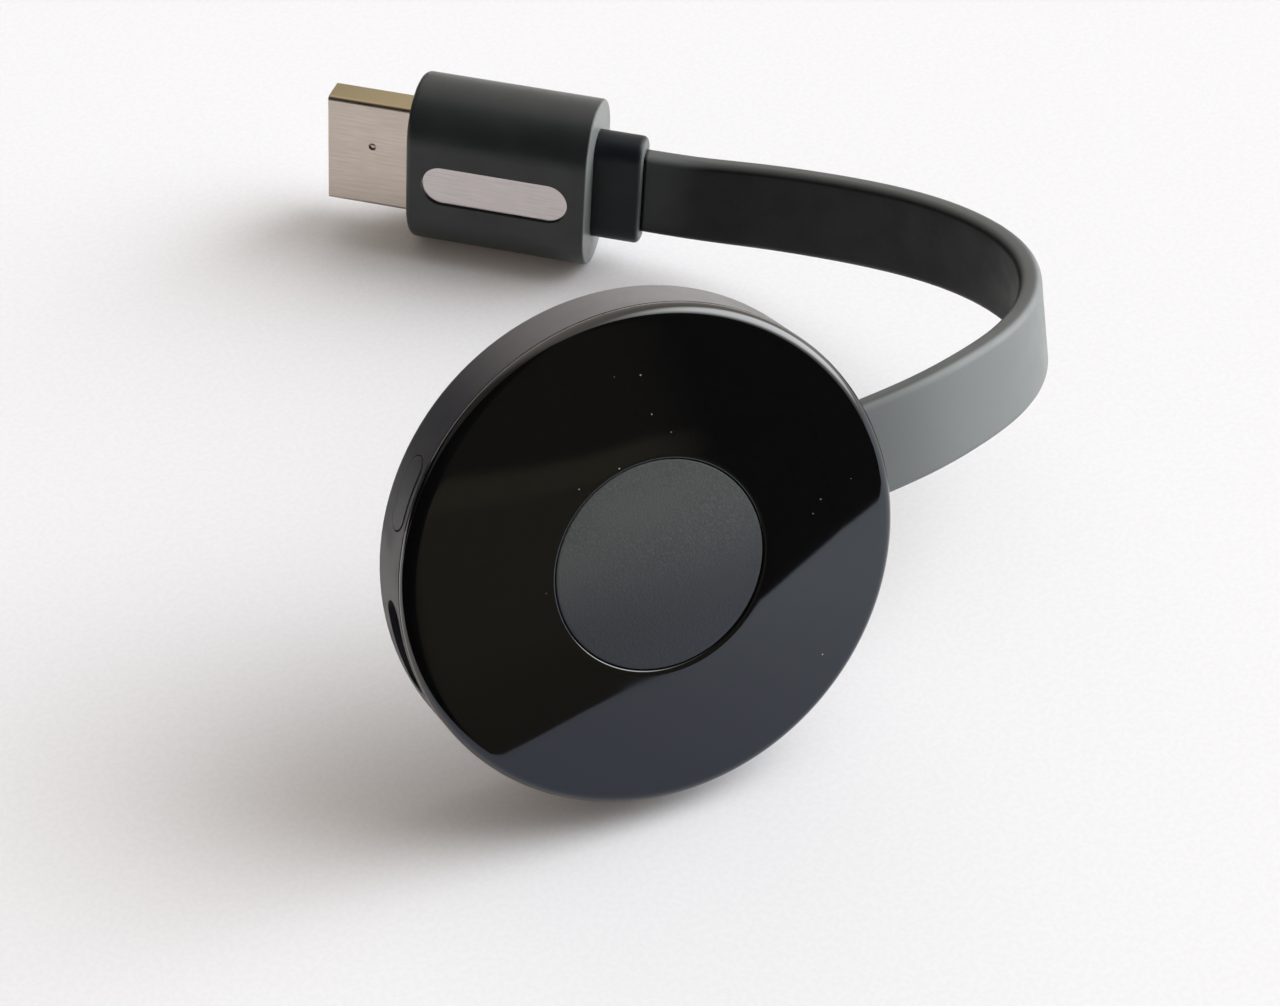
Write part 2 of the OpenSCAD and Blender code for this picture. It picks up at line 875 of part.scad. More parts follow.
module usb_shell() {
    color("#b4b6b8")
    in_disc() {
        at_rim(port_angle, port_z)
            translate([usb_back_r, 0, 0])
                difference() {
                    outline_along_x(usb_outline(0), usb_l);
                    translate([-over, 0, 0]) outline_along_x(usb_outline(usb_sheet), usb_l + 2 * over);
                }
        at_usb_pegs(board_z) cylinder(d = usb_peg_d, h = board_t + usb_sheet / 2);
    }
}

usb_tongue_l = usb_l - usb_block_l - usb_tongue_back;
module usb_tongue() {
    color("#17181a")
    in_disc()
        at_rim(port_angle, port_z)
            translate([usb_back_r, 0, 0]) {
                outline_along_x(usb_outline(usb_sheet), usb_block_l);
                translate([usb_block_l, -usb_tongue_w / 2, usb_tongue_up - usb_tongue_t / 2])
                    cube([usb_tongue_l, usb_tongue_w, usb_tongue_t]);
            }
}

module usb_contacts() {
    color("#c8a24a")
    in_disc()
        at_rim(port_angle, port_z)
            for (i = [0:usb_contact_count - 1])
                translate([usb_back_r + usb_block_l,
                           (i - (usb_contact_count - 1) / 2) * usb_contact_pitch - usb_contact_w / 2,
                           usb_tongue_up - usb_tongue_t / 2 - usb_contact_t])
                    cube([usb_tongue_l - usb_contact_short, usb_contact_w, usb_contact_t]);
}

guide_in_r = disc_r - guide_in;
module status_light() {
    color("#f2efe2")
    in_disc()
        at_rim(guide_angle, board_top_z)
            translate([guide_in_r, -light_size[1] / 2, 0])
                cube(light_size);
}

module light_guide() {
    color("#dfe6ea")
    in_disc()
        at_rim(guide_angle, port_z)
            translate([guide_in_r, 0, 0])
                rotate([0, 90, 0])
                    cylinder(d = guide_d, h = guide_in - guide_sunk);
}

module reset_button() {
    color("#3a3d41")
    in_disc()
        at_rim(button_angle, port_z) {
            intersection() {
                translate([flange_out_r - over, 0, 0])
                    pill_along_x(cap_l, cap_h, disc_r);
                translate([0, 0, -opening_h])
                    cylinder(r = disc_r + button_proud, h = 2 * opening_h);
            }
            translate([flange_in_r, 0, 0])
                pill_along_x(flange_l, flange_h, button_flange_t);
            translate([stem_r, -button_stem_w / 2, plunger_z - port_z - button_stem_h / 2])
                cube([button_stem_l + button_flange_t / 2, button_stem_w, button_stem_h]);
        }
}

module switch_base() {
    color("#2a2b2d")
    in_disc()
        at_rim(button_angle, board_top_z)
            difference() {
                translate([switch_front_r - switch_size[0], -switch_size[1] / 2, 0])
                    cube(switch_size);
                translate([switch_hole_r, -plunger_w / 2 - seat_gap, switch_up - plunger_h / 2 - seat_gap])
                    cube([switch_size[0], plunger_w + 2 * seat_gap, plunger_h + 2 * seat_gap]);
            }
}

module switch_plunger() {
    color("#d8d6cf")
    in_disc()
        at_rim(button_angle, board_top_z)
            translate([plunger_back_r, -plunger_w / 2, switch_up - plunger_h / 2])
                cube([plunger_in + plunger_out, plunger_w, plunger_h]);
}

module switch_dome() {
    color("#c0b48c")
    in_disc()
        at_rim(button_angle, board_top_z)
            translate([switch_hole_r, -plunger_w / 2, switch_up - plunger_h / 2])
                cube([dome_t, plunger_w, plunger_h]);
}

module cable_grommet() {
    color("#232527")
    in_disc()
        difference() {
            union() {
                at_rim(exit_angle, cable_z)
                    translate([grommet_in_r, 0, 0])
                        outline_along_x(sleeve_outline(0), exit_r - grommet_in_r);
                intersection() {
                    at_rim(exit_angle, cable_z)
                        translate([grommet_in_r, 0, 0])
                            outline_along_x(sleeve_outline(grommet_flange), side_wall);
                    rotate_extrude() polygon(cavity_profile(fit_gap));
                }
            }
            at_rim(exit_angle, cable_z)
                translate([grommet_in_r - over, 0, 0])
                    outline_along_x(RIBBON_OUTLINE, disc_r);
        }
}

module cable_root() {
    color("#53585a")
    in_disc()
        at_rim(exit_angle, cable_z)
            translate([root_in_r, 0, 0])
                outline_along_x(RIBBON_OUTLINE, exit_r - root_in_r);
}

module cable_clamp() {
    clamp_l = 2 * (clamp_screw_y + boss_d / 2);
    color("#a6a9ac")
    in_disc()
        difference() {
            at_rim(exit_angle, clamp_z)
                translate([clamp_r, 0, 0])
                    linear_extrude(clamp_t)
                        polygon(rounded_box(clamp_w, clamp_l, clamp_corner));
            at_clamp_screws(clamp_z - over) cylinder(d = screw_hole_d, h = clamp_t + 2 * over);
        }
}

module clamp_screws() {
    color("#9a9da1")
    in_disc() at_clamp_screws(clamp_z + clamp_t) screw();
}

// A row of wires from x = 0 for a length along X
module wires(l) {
    for (i = [0:wire_count - 1])
        translate([0, (i - (wire_count - 1) / 2) * wire_pitch, 0])
            rotate([0, 90, 0])
                cylinder(d = wire_d, h = l);
}

module cable_root_wires() {
    color("#b5763c")
    in_disc()
        at_rim(exit_angle, cable_z)
            translate([root_in_r - 2 * wire_lap, 0, 0])
                wires(2 * wire_lap);
}

// The free cable's route, in round numbers, between the disc's exit and the plug
ROUTE = [
    [39, 3.3, 27.5], [46, 6.7, 26.2], [51.9, 11.9, 24.7], [55.3, 18.9, 23.2], [55.4, 26.4, 21.5],
    [53.2, 34.3, 19.5], [49.7, 42.1, 17], [45.5, 49.5, 14.4], [41, 56.2, 12.1]
];
cord_lead = 7;

// Directions of the disc's and the plug's axes
DISC_UP = [0, sin(lean), cos(lean)];
DISC_FRONT = [0, -cos(lean), sin(lean)];
DISC_MIDDLE = [0, disc_shift, disc_lift];
exit_way = cos(exit_angle) * [1, 0, 0] + sin(exit_angle) * DISC_UP;
exit_width = -sin(exit_angle) * [1, 0, 0] + cos(exit_angle) * DISC_UP;
exit_point = DISC_MIDDLE + exit_r * exit_way + cable_z * DISC_FRONT;
plug_way = [-cos(plug_yaw), sin(plug_yaw), 0];
plug_out = [-sin(plug_yaw), -cos(plug_yaw), 0];
plug_width = cos(plug_roll) * [0, 0, 1] - sin(plug_roll) * plug_out;
tail_point = [plug_x, plug_y, plug_lift] - (housing_l + relief_l) * plug_way;
CONTROLS = concat(
    [exit_point - cord_lead * exit_way, exit_point, exit_point + cord_lead * exit_way],
    ROUTE,
    [tail_point - cord_lead * plug_way, tail_point, tail_point + cord_lead * plug_way]);

// A smooth cubic curve along the control points, and its direction
SPLINE_SHARES = [[1, 4, 1, 0], [-3, 0, 3, 0], [3, -6, 3, 0], [-1, 3, -3, 1]] / 6;
function blend(i, powers) = powers * SPLINE_SHARES * [for (j = [0:3]) CONTROLS[i + j]];
function curve_point(i, t) = blend(i, [1, t, pow(t, 2), pow(t, 3)]);
function curve_way(i, t) = unit(blend(i, [0, 1, 2 * t, 3 * pow(t, 2)]));

RINGS_PER_SPAN = 4;
span_count = len(CONTROLS) - 3;
ring_count = span_count * RINGS_PER_SPAN;
function ring(k) =
    let (i = min(floor(k / RINGS_PER_SPAN), span_count - 1), t = k / RINGS_PER_SPAN - i)
    let (share = k / ring_count)
    let (way = curve_way(i, t), lie = (1 - share) * exit_width + share * plug_width)
    let (width = unit(lie - (lie * way) * way), out = cross(way, width))
    [for (p = RIBBON_OUTLINE) curve_point(i, t) + p[0] * width + p[1] * out];

module ribbon_cable() {
    sides = len(RIBBON_OUTLINE);
    side_faces = [for (k = [0:ring_count - 1], j = [0:sides - 1]) each [
        [k * sides + j, (k + 1) * sides + j, (k + 1) * sides + (j + 1) % sides],
        [k * sides + j, (k + 1) * sides + (j + 1) % sides, k * sides + (j + 1) % sides]]];
    ends = [[for (j = [0:sides - 1]) j], [for (j = [sides - 1:-1:0]) ring_count * sides + j]];
    color("#53585a")
    polyhedron(points = [for (k = [0:ring_count]) each ring(k)], faces = concat(side_faces, ends));
}

// Plug pieces
tail_wall_x = -housing_l + housing_wall;
relief_tail_x = -housing_l - relief_l;
cable_end_x = -housing_l + cable_end_in;
cavity_w = housing_w - 2 * housing_wall;
cavity_t = housing_t - 2 * housing_wall;

module plug_strain_relief() {
    flange_w = neck_w + 2 * relief_flange;
    flange_t = neck_t + 2 * relief_flange;
    color("#34373a")
    in_plug()
        difference() {
            union() {
                pill_body(rounded([[0, relief_tail_x], [relief_t / 2, relief_tail_x],
                                   [relief_t / 2, -housing_l], [0, -housing_l]],
                                  [0, relief_fillet, 0, 0]), relief_w - relief_t);
                translate([-housing_l - over, 0, 0])
                    outline_along_x(neck_outline(0), housing_wall + seat_gap + 2 * over);
                translate([tail_wall_x + seat_gap, 0, 0])
                    outline_along_x(turned(rounded_box(flange_w, flange_t, ribbon_corner)), relief_flange_t);
            }
            translate([relief_tail_x - over, 0, 0])
                outline_along_x(turned(RIBBON_OUTLINE), housing_l);
        }
}

// Plug outlines run along Z, so [width, thickness] becomes [y, z] turned
function turned(points) = [for (p = points) [-p[1], p[0]]];
function neck_outline(gap) = turned(rounded_box(neck_w + 2 * gap, neck_t + 2 * gap, ribbon_corner));

module plug_housing() {
    color("#3b3f43")
    in_plug()
        difference() {
            pill_body(rounded([[0, -housing_l], [housing_t / 2, -housing_l], [housing_t / 2, 0], [0, 0]],
                              [0, housing_tail_fillet, housing_front_fillet, 0]), housing_w - housing_t);
            translate([tail_wall_x, 0, 0])
                pill_along_x_turned(cavity_w, cavity_t, housing_l);
            translate([-housing_l - over, 0, 0])
                outline_along_x(neck_outline(seat_gap), housing_wall + 2 * over);
            at_inlay(housing_t / 2 - inlay_depth)
                pill_plate(inlay_l, inlay_w, inlay_depth + over);
        }
}

// A pill whose length lies along Z, from x = 0 for a depth along X
module pill_along_x_turned(l, h, depth) {
    rotate([90, 0, 0])
        pill_along_x(l, h, depth);
}

// A pill plate in the XZ plane, from y = 0 for a thickness along Y
module pill_plate(l, w, t) {
    rotate([-90, 0, 0])
        linear_extrude(t) {
            square([l - w, w], center = true);
            for (s = [-1, 1])
                translate([s * (l - w) / 2, 0])
                    circle(d = w);
        }
}

module at_inlay(y) {
    translate([-housing_l / 2 + inlay_shift, y, inlay_up])
        children();
}

module plug_inlay() {
    color("#c9c2bf")
    in_plug()
        at_inlay(housing_t / 2 - inlay_depth)
            pill_plate(inlay_l - 2 * seat_gap, inlay_w - 2 * seat_gap, inlay_t);
}

module plug_face_plate() {
    color("#2c2e31")
    in_plug()
        translate([-face_plate_t, 0, 0])
            difference() {
                pill_along_x_turned(cavity_w - 2 * seat_gap, cavity_t - 2 * seat_gap, face_plate_t);
                translate([-over, 0, 0])
                    outline_along_x(shell_outline(-seat_gap), face_plate_t + 2 * over);
            }
}

// The connector shell's outline as [y, z], drawn in by a sheet
function shell_outline(sheet) =
    let (w = shell_w / 2 - sheet, t = shell_t / 2 - sheet, foot = shell_foot_w / 2 - sheet)
    let (side_y = t - shell_side_h + sheet)
    rounded([[t, w], [side_y, w], [-t, foot], [-t, -foot], [side_y, -w], [t, -w]],
            [for (i = [0:5]) shell_corner]);

module plug_shell() {
    color("#c6c0b6")
    in_plug()
        difference() {
            translate([-shell_in, 0, 0]) outline_along_x(shell_outline(0), shell_in + shell_l);
            translate([-shell_in - over, 0, 0])
                outline_along_x(shell_outline(shell_sheet), shell_in + shell_l + 2 * over);
            translate([shell_dimple_at[0], shell_t / 2 + over, shell_dimple_at[1]])
                rotate([90, 0, 0])
                    cylinder(d = shell_dimple_d, h = shell_sheet + 2 * over);
        }
}

slot_t = contact_space + 2 * contact_t;
insulator_l = shell_in + shell_l - insulator_back;
module plug_insulator() {
    color("#18191b")
    in_plug()
        translate([-shell_in, 0, 0])
            difference() {
                outline_along_x(shell_outline(shell_sheet + insulator_gap), insulator_l);
                translate([-over, -slot_t / 2, -slot_w / 2])
                    cube([insulator_l + 2 * over, slot_t, slot_w]);
            }
}

module contact_row(count, y) {
    for (i = [0:count - 1])
        translate([-shell_in - contact_lap, y, (i - (count - 1) / 2) * contact_pitch - contact_w / 2])
            cube([insulator_l + contact_lap - contact_back, contact_t, contact_w]);
}

module plug_upper_contacts() {
    color("#c8a24a")
    in_plug() contact_row(UPPER_CONTACTS, contact_space / 2);
}

module plug_lower_contacts() {
    color("#c8a24a")
    in_plug() contact_row(LOWER_CONTACTS, -contact_space / 2 - contact_t);
}

module plug_board() {
    color("#1f5a3a")
    in_plug()
        translate([-shell_in - plug_board_l, -contact_space / 2, -plug_board_w / 2])
            cube([plug_board_l, contact_space, plug_board_w]);
}

module plug_cable_end() {
    color("#53585a")
    in_plug()
        translate([relief_tail_x, 0, 0])
            outline_along_x(turned(RIBBON_OUTLINE), cable_end_x - relief_tail_x);
}

module plug_ferrule() {
    color("#a6a9ac")
    in_plug()
        translate([cable_end_x - ferrule_l, 0, 0])
            difference() {
                outline_along_x(turned(rounded_box(ribbon_w + 2 * ferrule_t, ribbon_t + 2 * ferrule_t,
                                                   ribbon_corner + ferrule_t)), ferrule_l);
                translate([-over, 0, 0])
                    outline_along_x(turned(RIBBON_OUTLINE), ferrule_l + 2 * over);
            }
}

module plug_wires() {
    board_tail_x = -shell_in - plug_board_l;
    color("#b5763c")
    in_plug()
        translate([cable_end_x, contact_space / 2 + wire_d / 2, 0])
            rotate([90, 0, 0])
                wires(board_tail_x + wire_lap - cable_end_x);
}

shield_x = tail_wall_x + seat_gap + relief_flange_t;
shield_l = -face_plate_t - shield_x;
module plug_shield_can() {
    color("#b9bcbe")
    in_plug()
        translate([shield_x, 0, 0])
            difference() {
                outline_along_x(turned(rounded_box(shield_w, shield_t, can_corner)), shield_l);
                translate([-over, 0, 0])
                    outline_along_x(turned(rounded_box(shield_w - 2 * shield_sheet,
                                                       shield_t - 2 * shield_sheet,
                                                       can_corner - shield_sheet)), shield_l + 2 * over);
            }
}

// The moulded sleeve that holds the shield can in the housing
module plug_inner_mould() {
    color("#26282a")
    in_plug()
        translate([shield_x, 0, 0])
            difference() {
                pill_along_x_turned(cavity_w - 2 * seat_gap, cavity_t - 2 * seat_gap, shield_l);
                translate([-over, 0, 0])
                    outline_along_x(turned(rounded_box(shield_w + 2 * seat_gap, shield_t + 2 * seat_gap,
                                                       can_corner + seat_gap)), shield_l + 2 * over);
            }
}

rear_cover();
front_cover();
front_medallion();
seam_gasket();
magnet();
magnet_yoke();
rear_heat_spreader();
rear_thermal_pad();
rear_shield_can();
flash_chip();
power_chip();
power_inductors();
main_board();
processor_chip();
processor_pad();
memory_chip();
wireless_chip();
clock_crystal();
board_capacitors();
front_shield_frame();
front_shield_lid();
front_thermal_pad();
front_heat_spreader();
upper_antenna();
lower_antenna();
board_screws();
usb_shell();
usb_tongue();
usb_contacts();
status_light();
light_guide();
reset_button();
switch_base();
switch_plunger();
switch_dome();
cable_grommet();
cable_root();
cable_clamp();
clamp_screws();
cable_root_wires();
ribbon_cable();
plug_strain_relief();
plug_housing();
plug_inlay();
plug_face_plate();
plug_cable_end();
plug_ferrule();
plug_wires();
plug_board();
plug_shield_can();
plug_inner_mould();
plug_shell();
plug_insulator();
plug_upper_contacts();
plug_lower_contacts();
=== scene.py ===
"""The streaming media stick as it lies on a sheet of white paper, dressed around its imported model."""

import json
import math

import bmesh
import bpy
from mathutils import Matrix, Vector


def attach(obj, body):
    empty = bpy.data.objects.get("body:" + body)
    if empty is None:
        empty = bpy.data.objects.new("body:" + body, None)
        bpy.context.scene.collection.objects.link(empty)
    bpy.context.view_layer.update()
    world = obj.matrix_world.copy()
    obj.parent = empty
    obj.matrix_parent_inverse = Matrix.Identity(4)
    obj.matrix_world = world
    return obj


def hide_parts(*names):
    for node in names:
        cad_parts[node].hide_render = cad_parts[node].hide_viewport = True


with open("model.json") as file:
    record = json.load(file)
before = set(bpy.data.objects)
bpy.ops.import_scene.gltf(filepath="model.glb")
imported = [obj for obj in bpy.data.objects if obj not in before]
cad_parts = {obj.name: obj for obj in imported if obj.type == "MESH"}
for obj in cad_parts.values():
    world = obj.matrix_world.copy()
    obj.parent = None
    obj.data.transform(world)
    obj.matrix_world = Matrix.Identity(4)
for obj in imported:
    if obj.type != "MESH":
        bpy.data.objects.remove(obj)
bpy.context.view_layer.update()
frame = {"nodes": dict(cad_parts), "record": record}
MM = 0.001
BODY = "stick"

# Camera: the point that it looks at and its distance from it, in millimetres, and its angles. Its focal
# length is in pixels of the photograph.
IMAGE_W = 1280
FOCAL_PX = 3084.33
SENSOR_W = 36
AIM = Vector((0.2015, 0, 30.5975))
CAMERA_AWAY = 301.3202
CAMERA_AZIMUTH = math.radians(-24.9445)
CAMERA_ELEVATION = math.radians(45.1035)
CAMERA_ROLL = math.radians(1.3282)


def make_camera():
    """The photograph's own view."""
    level = math.cos(CAMERA_ELEVATION)
    back = Vector((math.sin(CAMERA_AZIMUTH) * level, -math.cos(CAMERA_AZIMUTH) * level,
                   math.sin(CAMERA_ELEVATION)))
    flat_right = (-back).cross(Vector((0, 0, 1))).normalized()
    flat_up = flat_right.cross(-back)
    turn = Matrix.Rotation(CAMERA_ROLL, 3, back)
    right, up = turn @ flat_right, turn @ flat_up
    data = bpy.data.cameras.new("camera")
    data.sensor_width = SENSOR_W
    data.lens = FOCAL_PX / IMAGE_W * SENSOR_W
    camera = bpy.data.objects.new("camera", data)
    bpy.context.scene.collection.objects.link(camera)
    camera.matrix_world = Matrix.Translation((AIM + CAMERA_AWAY * back) * MM) @ Matrix(
        (right, up, back)).transposed().to_4x4()
    bpy.context.scene.camera = camera


make_camera()

# Sizes of the real part, in millimetres, as in its construction
DISC_R = 25.95
DISC_T = 13.5
EDGE_SAG = 1.5
DOME_R = (DISC_R**2 + EDGE_SAG**2) / (2 * EDGE_SAG)
SEAM_Z = 10.7
FRONT_WALL = 1.3
INNER_R = 24.55
SKIRT_T = 0.9
SKIRT_H = 1.2
FIT_GAP = 0.1
CABLE_Z = 7.2
MEDALLION_R = 10.9
MEDALLION_T = 0.4
MEDALLION_STEP = 0.15
MEDALLION_GAP = 0.08
RIBBON_W = 10.6
RIBBON_T = 2.5
RIBBON_CORNER = 0.95
SLEEVE_T = 0.4

# The disc's own axes: X to the cable's side, Y up its face, Z out of its face
LEAN = math.radians(23)
DISC_MIDDLE = Vector((0, 6.48158, 22.07407))
DISC_UP = Vector((0, math.sin(LEAN), math.cos(LEAN)))
DISC_FRONT = Vector((0, -math.cos(LEAN), math.sin(LEAN)))
DISC = Matrix((Vector((1, 0, 0)), DISC_UP, DISC_FRONT)).transposed().to_4x4()
DISC.translation = DISC_MIDDLE

# The plug's own axes: X to its tip, Y out of the inlay, Z along its width
PLUG_YAW = math.radians(37.5)
PLUG_ROLL = math.radians(9.5)
PLUG_MIDDLE = Vector((8.4, 82.9, 10.43966))
PLUG = (Matrix.Translation(PLUG_MIDDLE) @ Matrix.Rotation(math.pi - PLUG_YAW, 4, "Z")
        @ Matrix.Rotation(PLUG_ROLL, 4, "X"))
HOUSING_L = 22
RELIEF_L = 5.8
SHELL_FACE = 2.225
SHELL_SHEET = 0.35
DIMPLE_AT = (5.2, 1.1)
DIMPLE_R = 0.44
DIMPLE_DEEP = 0.09


def add_piece(name, points, faces, to_world=Matrix.Identity(4)):
    """A mesh object from points in millimetres."""
    mesh = bpy.data.meshes.new(name)
    mesh.from_pydata([to_world @ Vector(p) * MM for p in points], [], faces)
    mesh.validate()
    mesh.update()
    mesh.polygons.foreach_set("use_smooth", [True] * len(mesh.polygons))
    piece = bpy.data.objects.new(name, mesh)
    bpy.context.scene.collection.objects.link(piece)
    return piece


def arc(cx, cy, r, start, end, steps):
    """Points on an arc, with its angles in degrees."""
    return [(cx + r * math.cos(math.radians(start + (end - start) * i / steps)),
             cy + r * math.sin(math.radians(start + (end - start) * i / steps))) for i in range(steps + 1)]


# Flat cable, in millimetres
RIBBON_CORNER_STEPS = 8
RIBBON_FLAT_STEPS = 8
RINGS_PER_SPAN = 16
CORD_LEAD = 7
ROUTE = [
    (39, 3.3, 27.5), (46, 6.7, 26.2), (51.9, 11.9, 24.7), (55.3, 18.9, 23.2), (55.4, 26.4, 21.5),
    (53.2, 34.3, 19.5), (49.7, 42.1, 17), (45.5, 49.5, 14.4), (41, 56.2, 12.1),
]
EXIT_ANGLE = math.radians(6)
EXIT_R = math.sqrt(DISC_R**2 - (RIBBON_W / 2 + SLEEVE_T)**2)
EXIT_WAY = math.cos(EXIT_ANGLE) * Vector((1, 0, 0)) + math.sin(EXIT_ANGLE) * DISC_UP
EXIT_WIDTH = -math.sin(EXIT_ANGLE) * Vector((1, 0, 0)) + math.cos(EXIT_ANGLE) * DISC_UP
EXIT_POINT = DISC_MIDDLE + EXIT_R * EXIT_WAY + CABLE_Z * DISC_FRONT
PLUG_WAY = PLUG.to_3x3() @ Vector((1, 0, 0))
PLUG_WIDTH = PLUG.to_3x3() @ Vector((0, 0, 1))
TAIL_POINT = PLUG_MIDDLE - (HOUSING_L + RELIEF_L) * PLUG_WAY
CONTROLS = ([EXIT_POINT - CORD_LEAD * EXIT_WAY, EXIT_POINT, EXIT_POINT + CORD_LEAD * EXIT_WAY]
            + [Vector(p) for p in ROUTE]
            + [TAIL_POINT - CORD_LEAD * PLUG_WAY, TAIL_POINT, TAIL_POINT + CORD_LEAD * PLUG_WAY])
# The smooth cubic curve: each power's shares of the four control points, in sixths
SPLINE_SHARES = ((1, 4, 1, 0), (-3, 0, 3, 0), (3, -6, 3, 0), (-1, 3, -3, 1))
SPLINE_WHOLE = 6


def blend(first, powers):
    """A weighted sum of four control points, from the given one on."""
    weights = [sum(powers[i] * SPLINE_SHARES[i][j] for i in range(4)) / SPLINE_WHOLE for j in range(4)]
    return sum((w * CONTROLS[first + j] for j, w in enumerate(weights)), Vector())


def cable_rings():
    """(point, direction, width direction) at each ring, from the disc to the plug."""
    spans = len(CONTROLS) - 3
    count = spans * RINGS_PER_SPAN
    rings = []
    for k in range(count + 1):
        first = min(k // RINGS_PER_SPAN, spans - 1)
        t = k / RINGS_PER_SPAN - first
        way = blend(first, (0, 1, 2 * t, 3 * t**2)).normalized()
        lie = EXIT_WIDTH.lerp(PLUG_WIDTH, k / count)
        rings.append((blend(first, (1, t, t**2, t**3)), way, (lie - lie.dot(way) * way).normalized()))
    return rings


def ribbon_outline():
    """The flat cable's outline as (across its width, through its thickness)."""
    x, y = RIBBON_W / 2 - RIBBON_CORNER, RIBBON_T / 2 - RIBBON_CORNER
    points = []
    for cx, cy, start in ((x, y, 0), (-x, y, 90), (-x, -y, 180), (x, -y, 270)):
        points += arc(cx, cy, RIBBON_CORNER, start, start + 90, RIBBON_CORNER_STEPS)
        if start in (0, 180):
            flat_y = points[-1][1]
            points += [(cx * (1 - 2 * i / RIBBON_FLAT_STEPS), flat_y) for i in range(1, RIBBON_FLAT_STEPS)]
    return points


def make_cable():
    """The flat cable in one piece, from the disc's rim to the plug's strain relief."""
    rings, outline = cable_rings(), ribbon_outline()
    sides = len(outline)
    points = []
    for middle, way, width in rings:
        out = way.cross(width)
        points += [middle + p[0] * width + p[1] * out for p in outline]
    faces = []
    for start in range(0, (len(rings) - 1) * sides, sides):
        for j in range(sides):
            a, b = start + j, start + (j + 1) % sides
            faces.append((a, a + sides, b + sides, b))
    last = (len(rings) - 1) * sides
    faces += [tuple(range(sides)), tuple(last + j for j in reversed(range(sides)))]
    piece = add_piece("flat_cable", points, faces)
    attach(piece, BODY)
    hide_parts("ribbon_cable")
    return piece


flat_cable = make_cable()


def dome_z(r):
    """Height of the domed face at a distance from the disc's middle."""
    return DISC_T - DOME_R + math.sqrt(DOME_R**2 - r**2)


def round_corner(a, b, c, r, steps):
    """The corner at b between a and c, as an arc of radius r."""
    a, b, c = Vector(a), Vector(b), Vector(c)
    u, v = (a - b).normalized(), (c - b).normalized()
    half = math.acos(u.dot(v)) / 2
    middle = b + (u + v).normalized() * r / math.sin(half)
    start, end = b + u * r / math.tan(half) - middle, b + v * r / math.tan(half) - middle
    turn = math.atan2(start.x * end.y - start.y * end.x, start.dot(end))
    return [tuple(middle + Matrix.Rotation(turn * i / steps, 2) @ start) for i in range(steps + 1)]


FULL_TURN = 360
LATHE_STEPS = 288
# Distances in metres: points as near as the first are joined, and an edge as short as the second is dropped
WELD = 1e-7
EMPTY = 1e-8


def lathe(name, profile, start=0, end=FULL_TURN, to_world=DISC):
    """A closed profile of (radius, height) turned about the axis, all round or as an arc with flat ends."""
    whole = end - start == FULL_TURN
    steps = round(LATHE_STEPS * (end - start) / FULL_TURN)
    turns = steps if whole else steps + 1
    n = len(profile)
    points = []
    for i in range(turns):
        a = math.radians(start + (end - start) * i / steps)
        points += [(r * math.cos(a), r * math.sin(a), z) for r, z in profile]
    faces = []
    for i in range(steps):
        a, b = i * n, (i + 1) % turns * n
        for j in range(n):
            k = (j + 1) % n
            if profile[j][0] or profile[k][0]:
                faces.append((a + j, b + j, b + k, a + k))
    if not whole:
        faces += [tuple(range(n)), tuple((turns - 1) * n + j for j in reversed(range(n)))]
    piece = add_piece(name, points, faces, to_world)
    clean(piece)
    return piece


def clean(piece):
    """Joins the points on the axis, drops empty faces and turns all faces outwards."""
    mesh = bmesh.new()
    mesh.from_mesh(piece.data)
    bmesh.ops.remove_doubles(mesh, verts=mesh.verts, dist=WELD)
    bmesh.ops.dissolve_degenerate(mesh, edges=mesh.edges, dist=EMPTY)
    bmesh.ops.recalc_face_normals(mesh, faces=mesh.faces)
    mesh.to_mesh(piece.data)
    mesh.free()


DOME_STEPS = 40
FILLET_STEPS = 8
EDGE_ROUND = 1.35
EDGE_STEPS = 20
RECESS_ROUND = 0.25
# The dome's slope at a corner is taken over this length
SLOPE_SPAN = 1


def make_front_cover():
    """The domed face with its rounded edge, and the recess for the medallion."""
    recess_r = MEDALLION_R + MEDALLION_GAP
    medallion_z = dome_z(MEDALLION_R) - MEDALLION_STEP - MEDALLION_T
    hollow_r = INNER_R - FIT_GAP - SKIRT_T
    outside = [(hollow_r, SEAM_Z), (DISC_R, SEAM_Z)]
    inner_r = DISC_R - 2 * EDGE_ROUND
    outside += round_corner((DISC_R, SEAM_Z), (DISC_R, dome_z(DISC_R)), (inner_r, dome_z(inner_r)),
                            EDGE_ROUND, EDGE_STEPS)
    dome_r = outside[-1][0]
    span = dome_r - recess_r - RECESS_ROUND
    outside += [(dome_r - span * i / DOME_STEPS, dome_z(dome_r - span * i / DOME_STEPS))
                for i in range(1, DOME_STEPS)]
    before = recess_r + SLOPE_SPAN
    outside += round_corner((before, dome_z(before)), (recess_r, dome_z(recess_r)), (recess_r, medallion_z),
                            RECESS_ROUND, FILLET_STEPS)
    outside += [(recess_r, medallion_z), (0, medallion_z)]
    hollow = [(hollow_r * i / DOME_STEPS, dome_z(hollow_r * i / DOME_STEPS) - FRONT_WALL)
              for i in range(DOME_STEPS + 1)]
    piece = lathe("domed_face", outside + hollow)
    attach(piece, BODY)
    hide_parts("front_cover")
    return piece


# In degrees about the disc's axis
SKIRT_ARCS = [(161.8, 175.7), (196.3, 498.2)]


def make_skirt():
    """The locating skirt under the domed face, open at the port and at the button."""
    outer, foot = INNER_R - FIT_GAP, SEAM_Z - SKIRT_H
    inner = outer - SKIRT_T
    profile = [(inner, foot), (outer, foot), (outer, SEAM_Z), (inner, SEAM_Z)]
    pieces = [lathe(f"face_skirt_{i}", profile, start, end) for i, (start, end) in enumerate(SKIRT_ARCS)]
    for piece in pieces:
        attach(piece, BODY)
    return pieces


MEDALLION_EDGE_R = 0.14
MEDALLION_EDGE_STEPS = 5


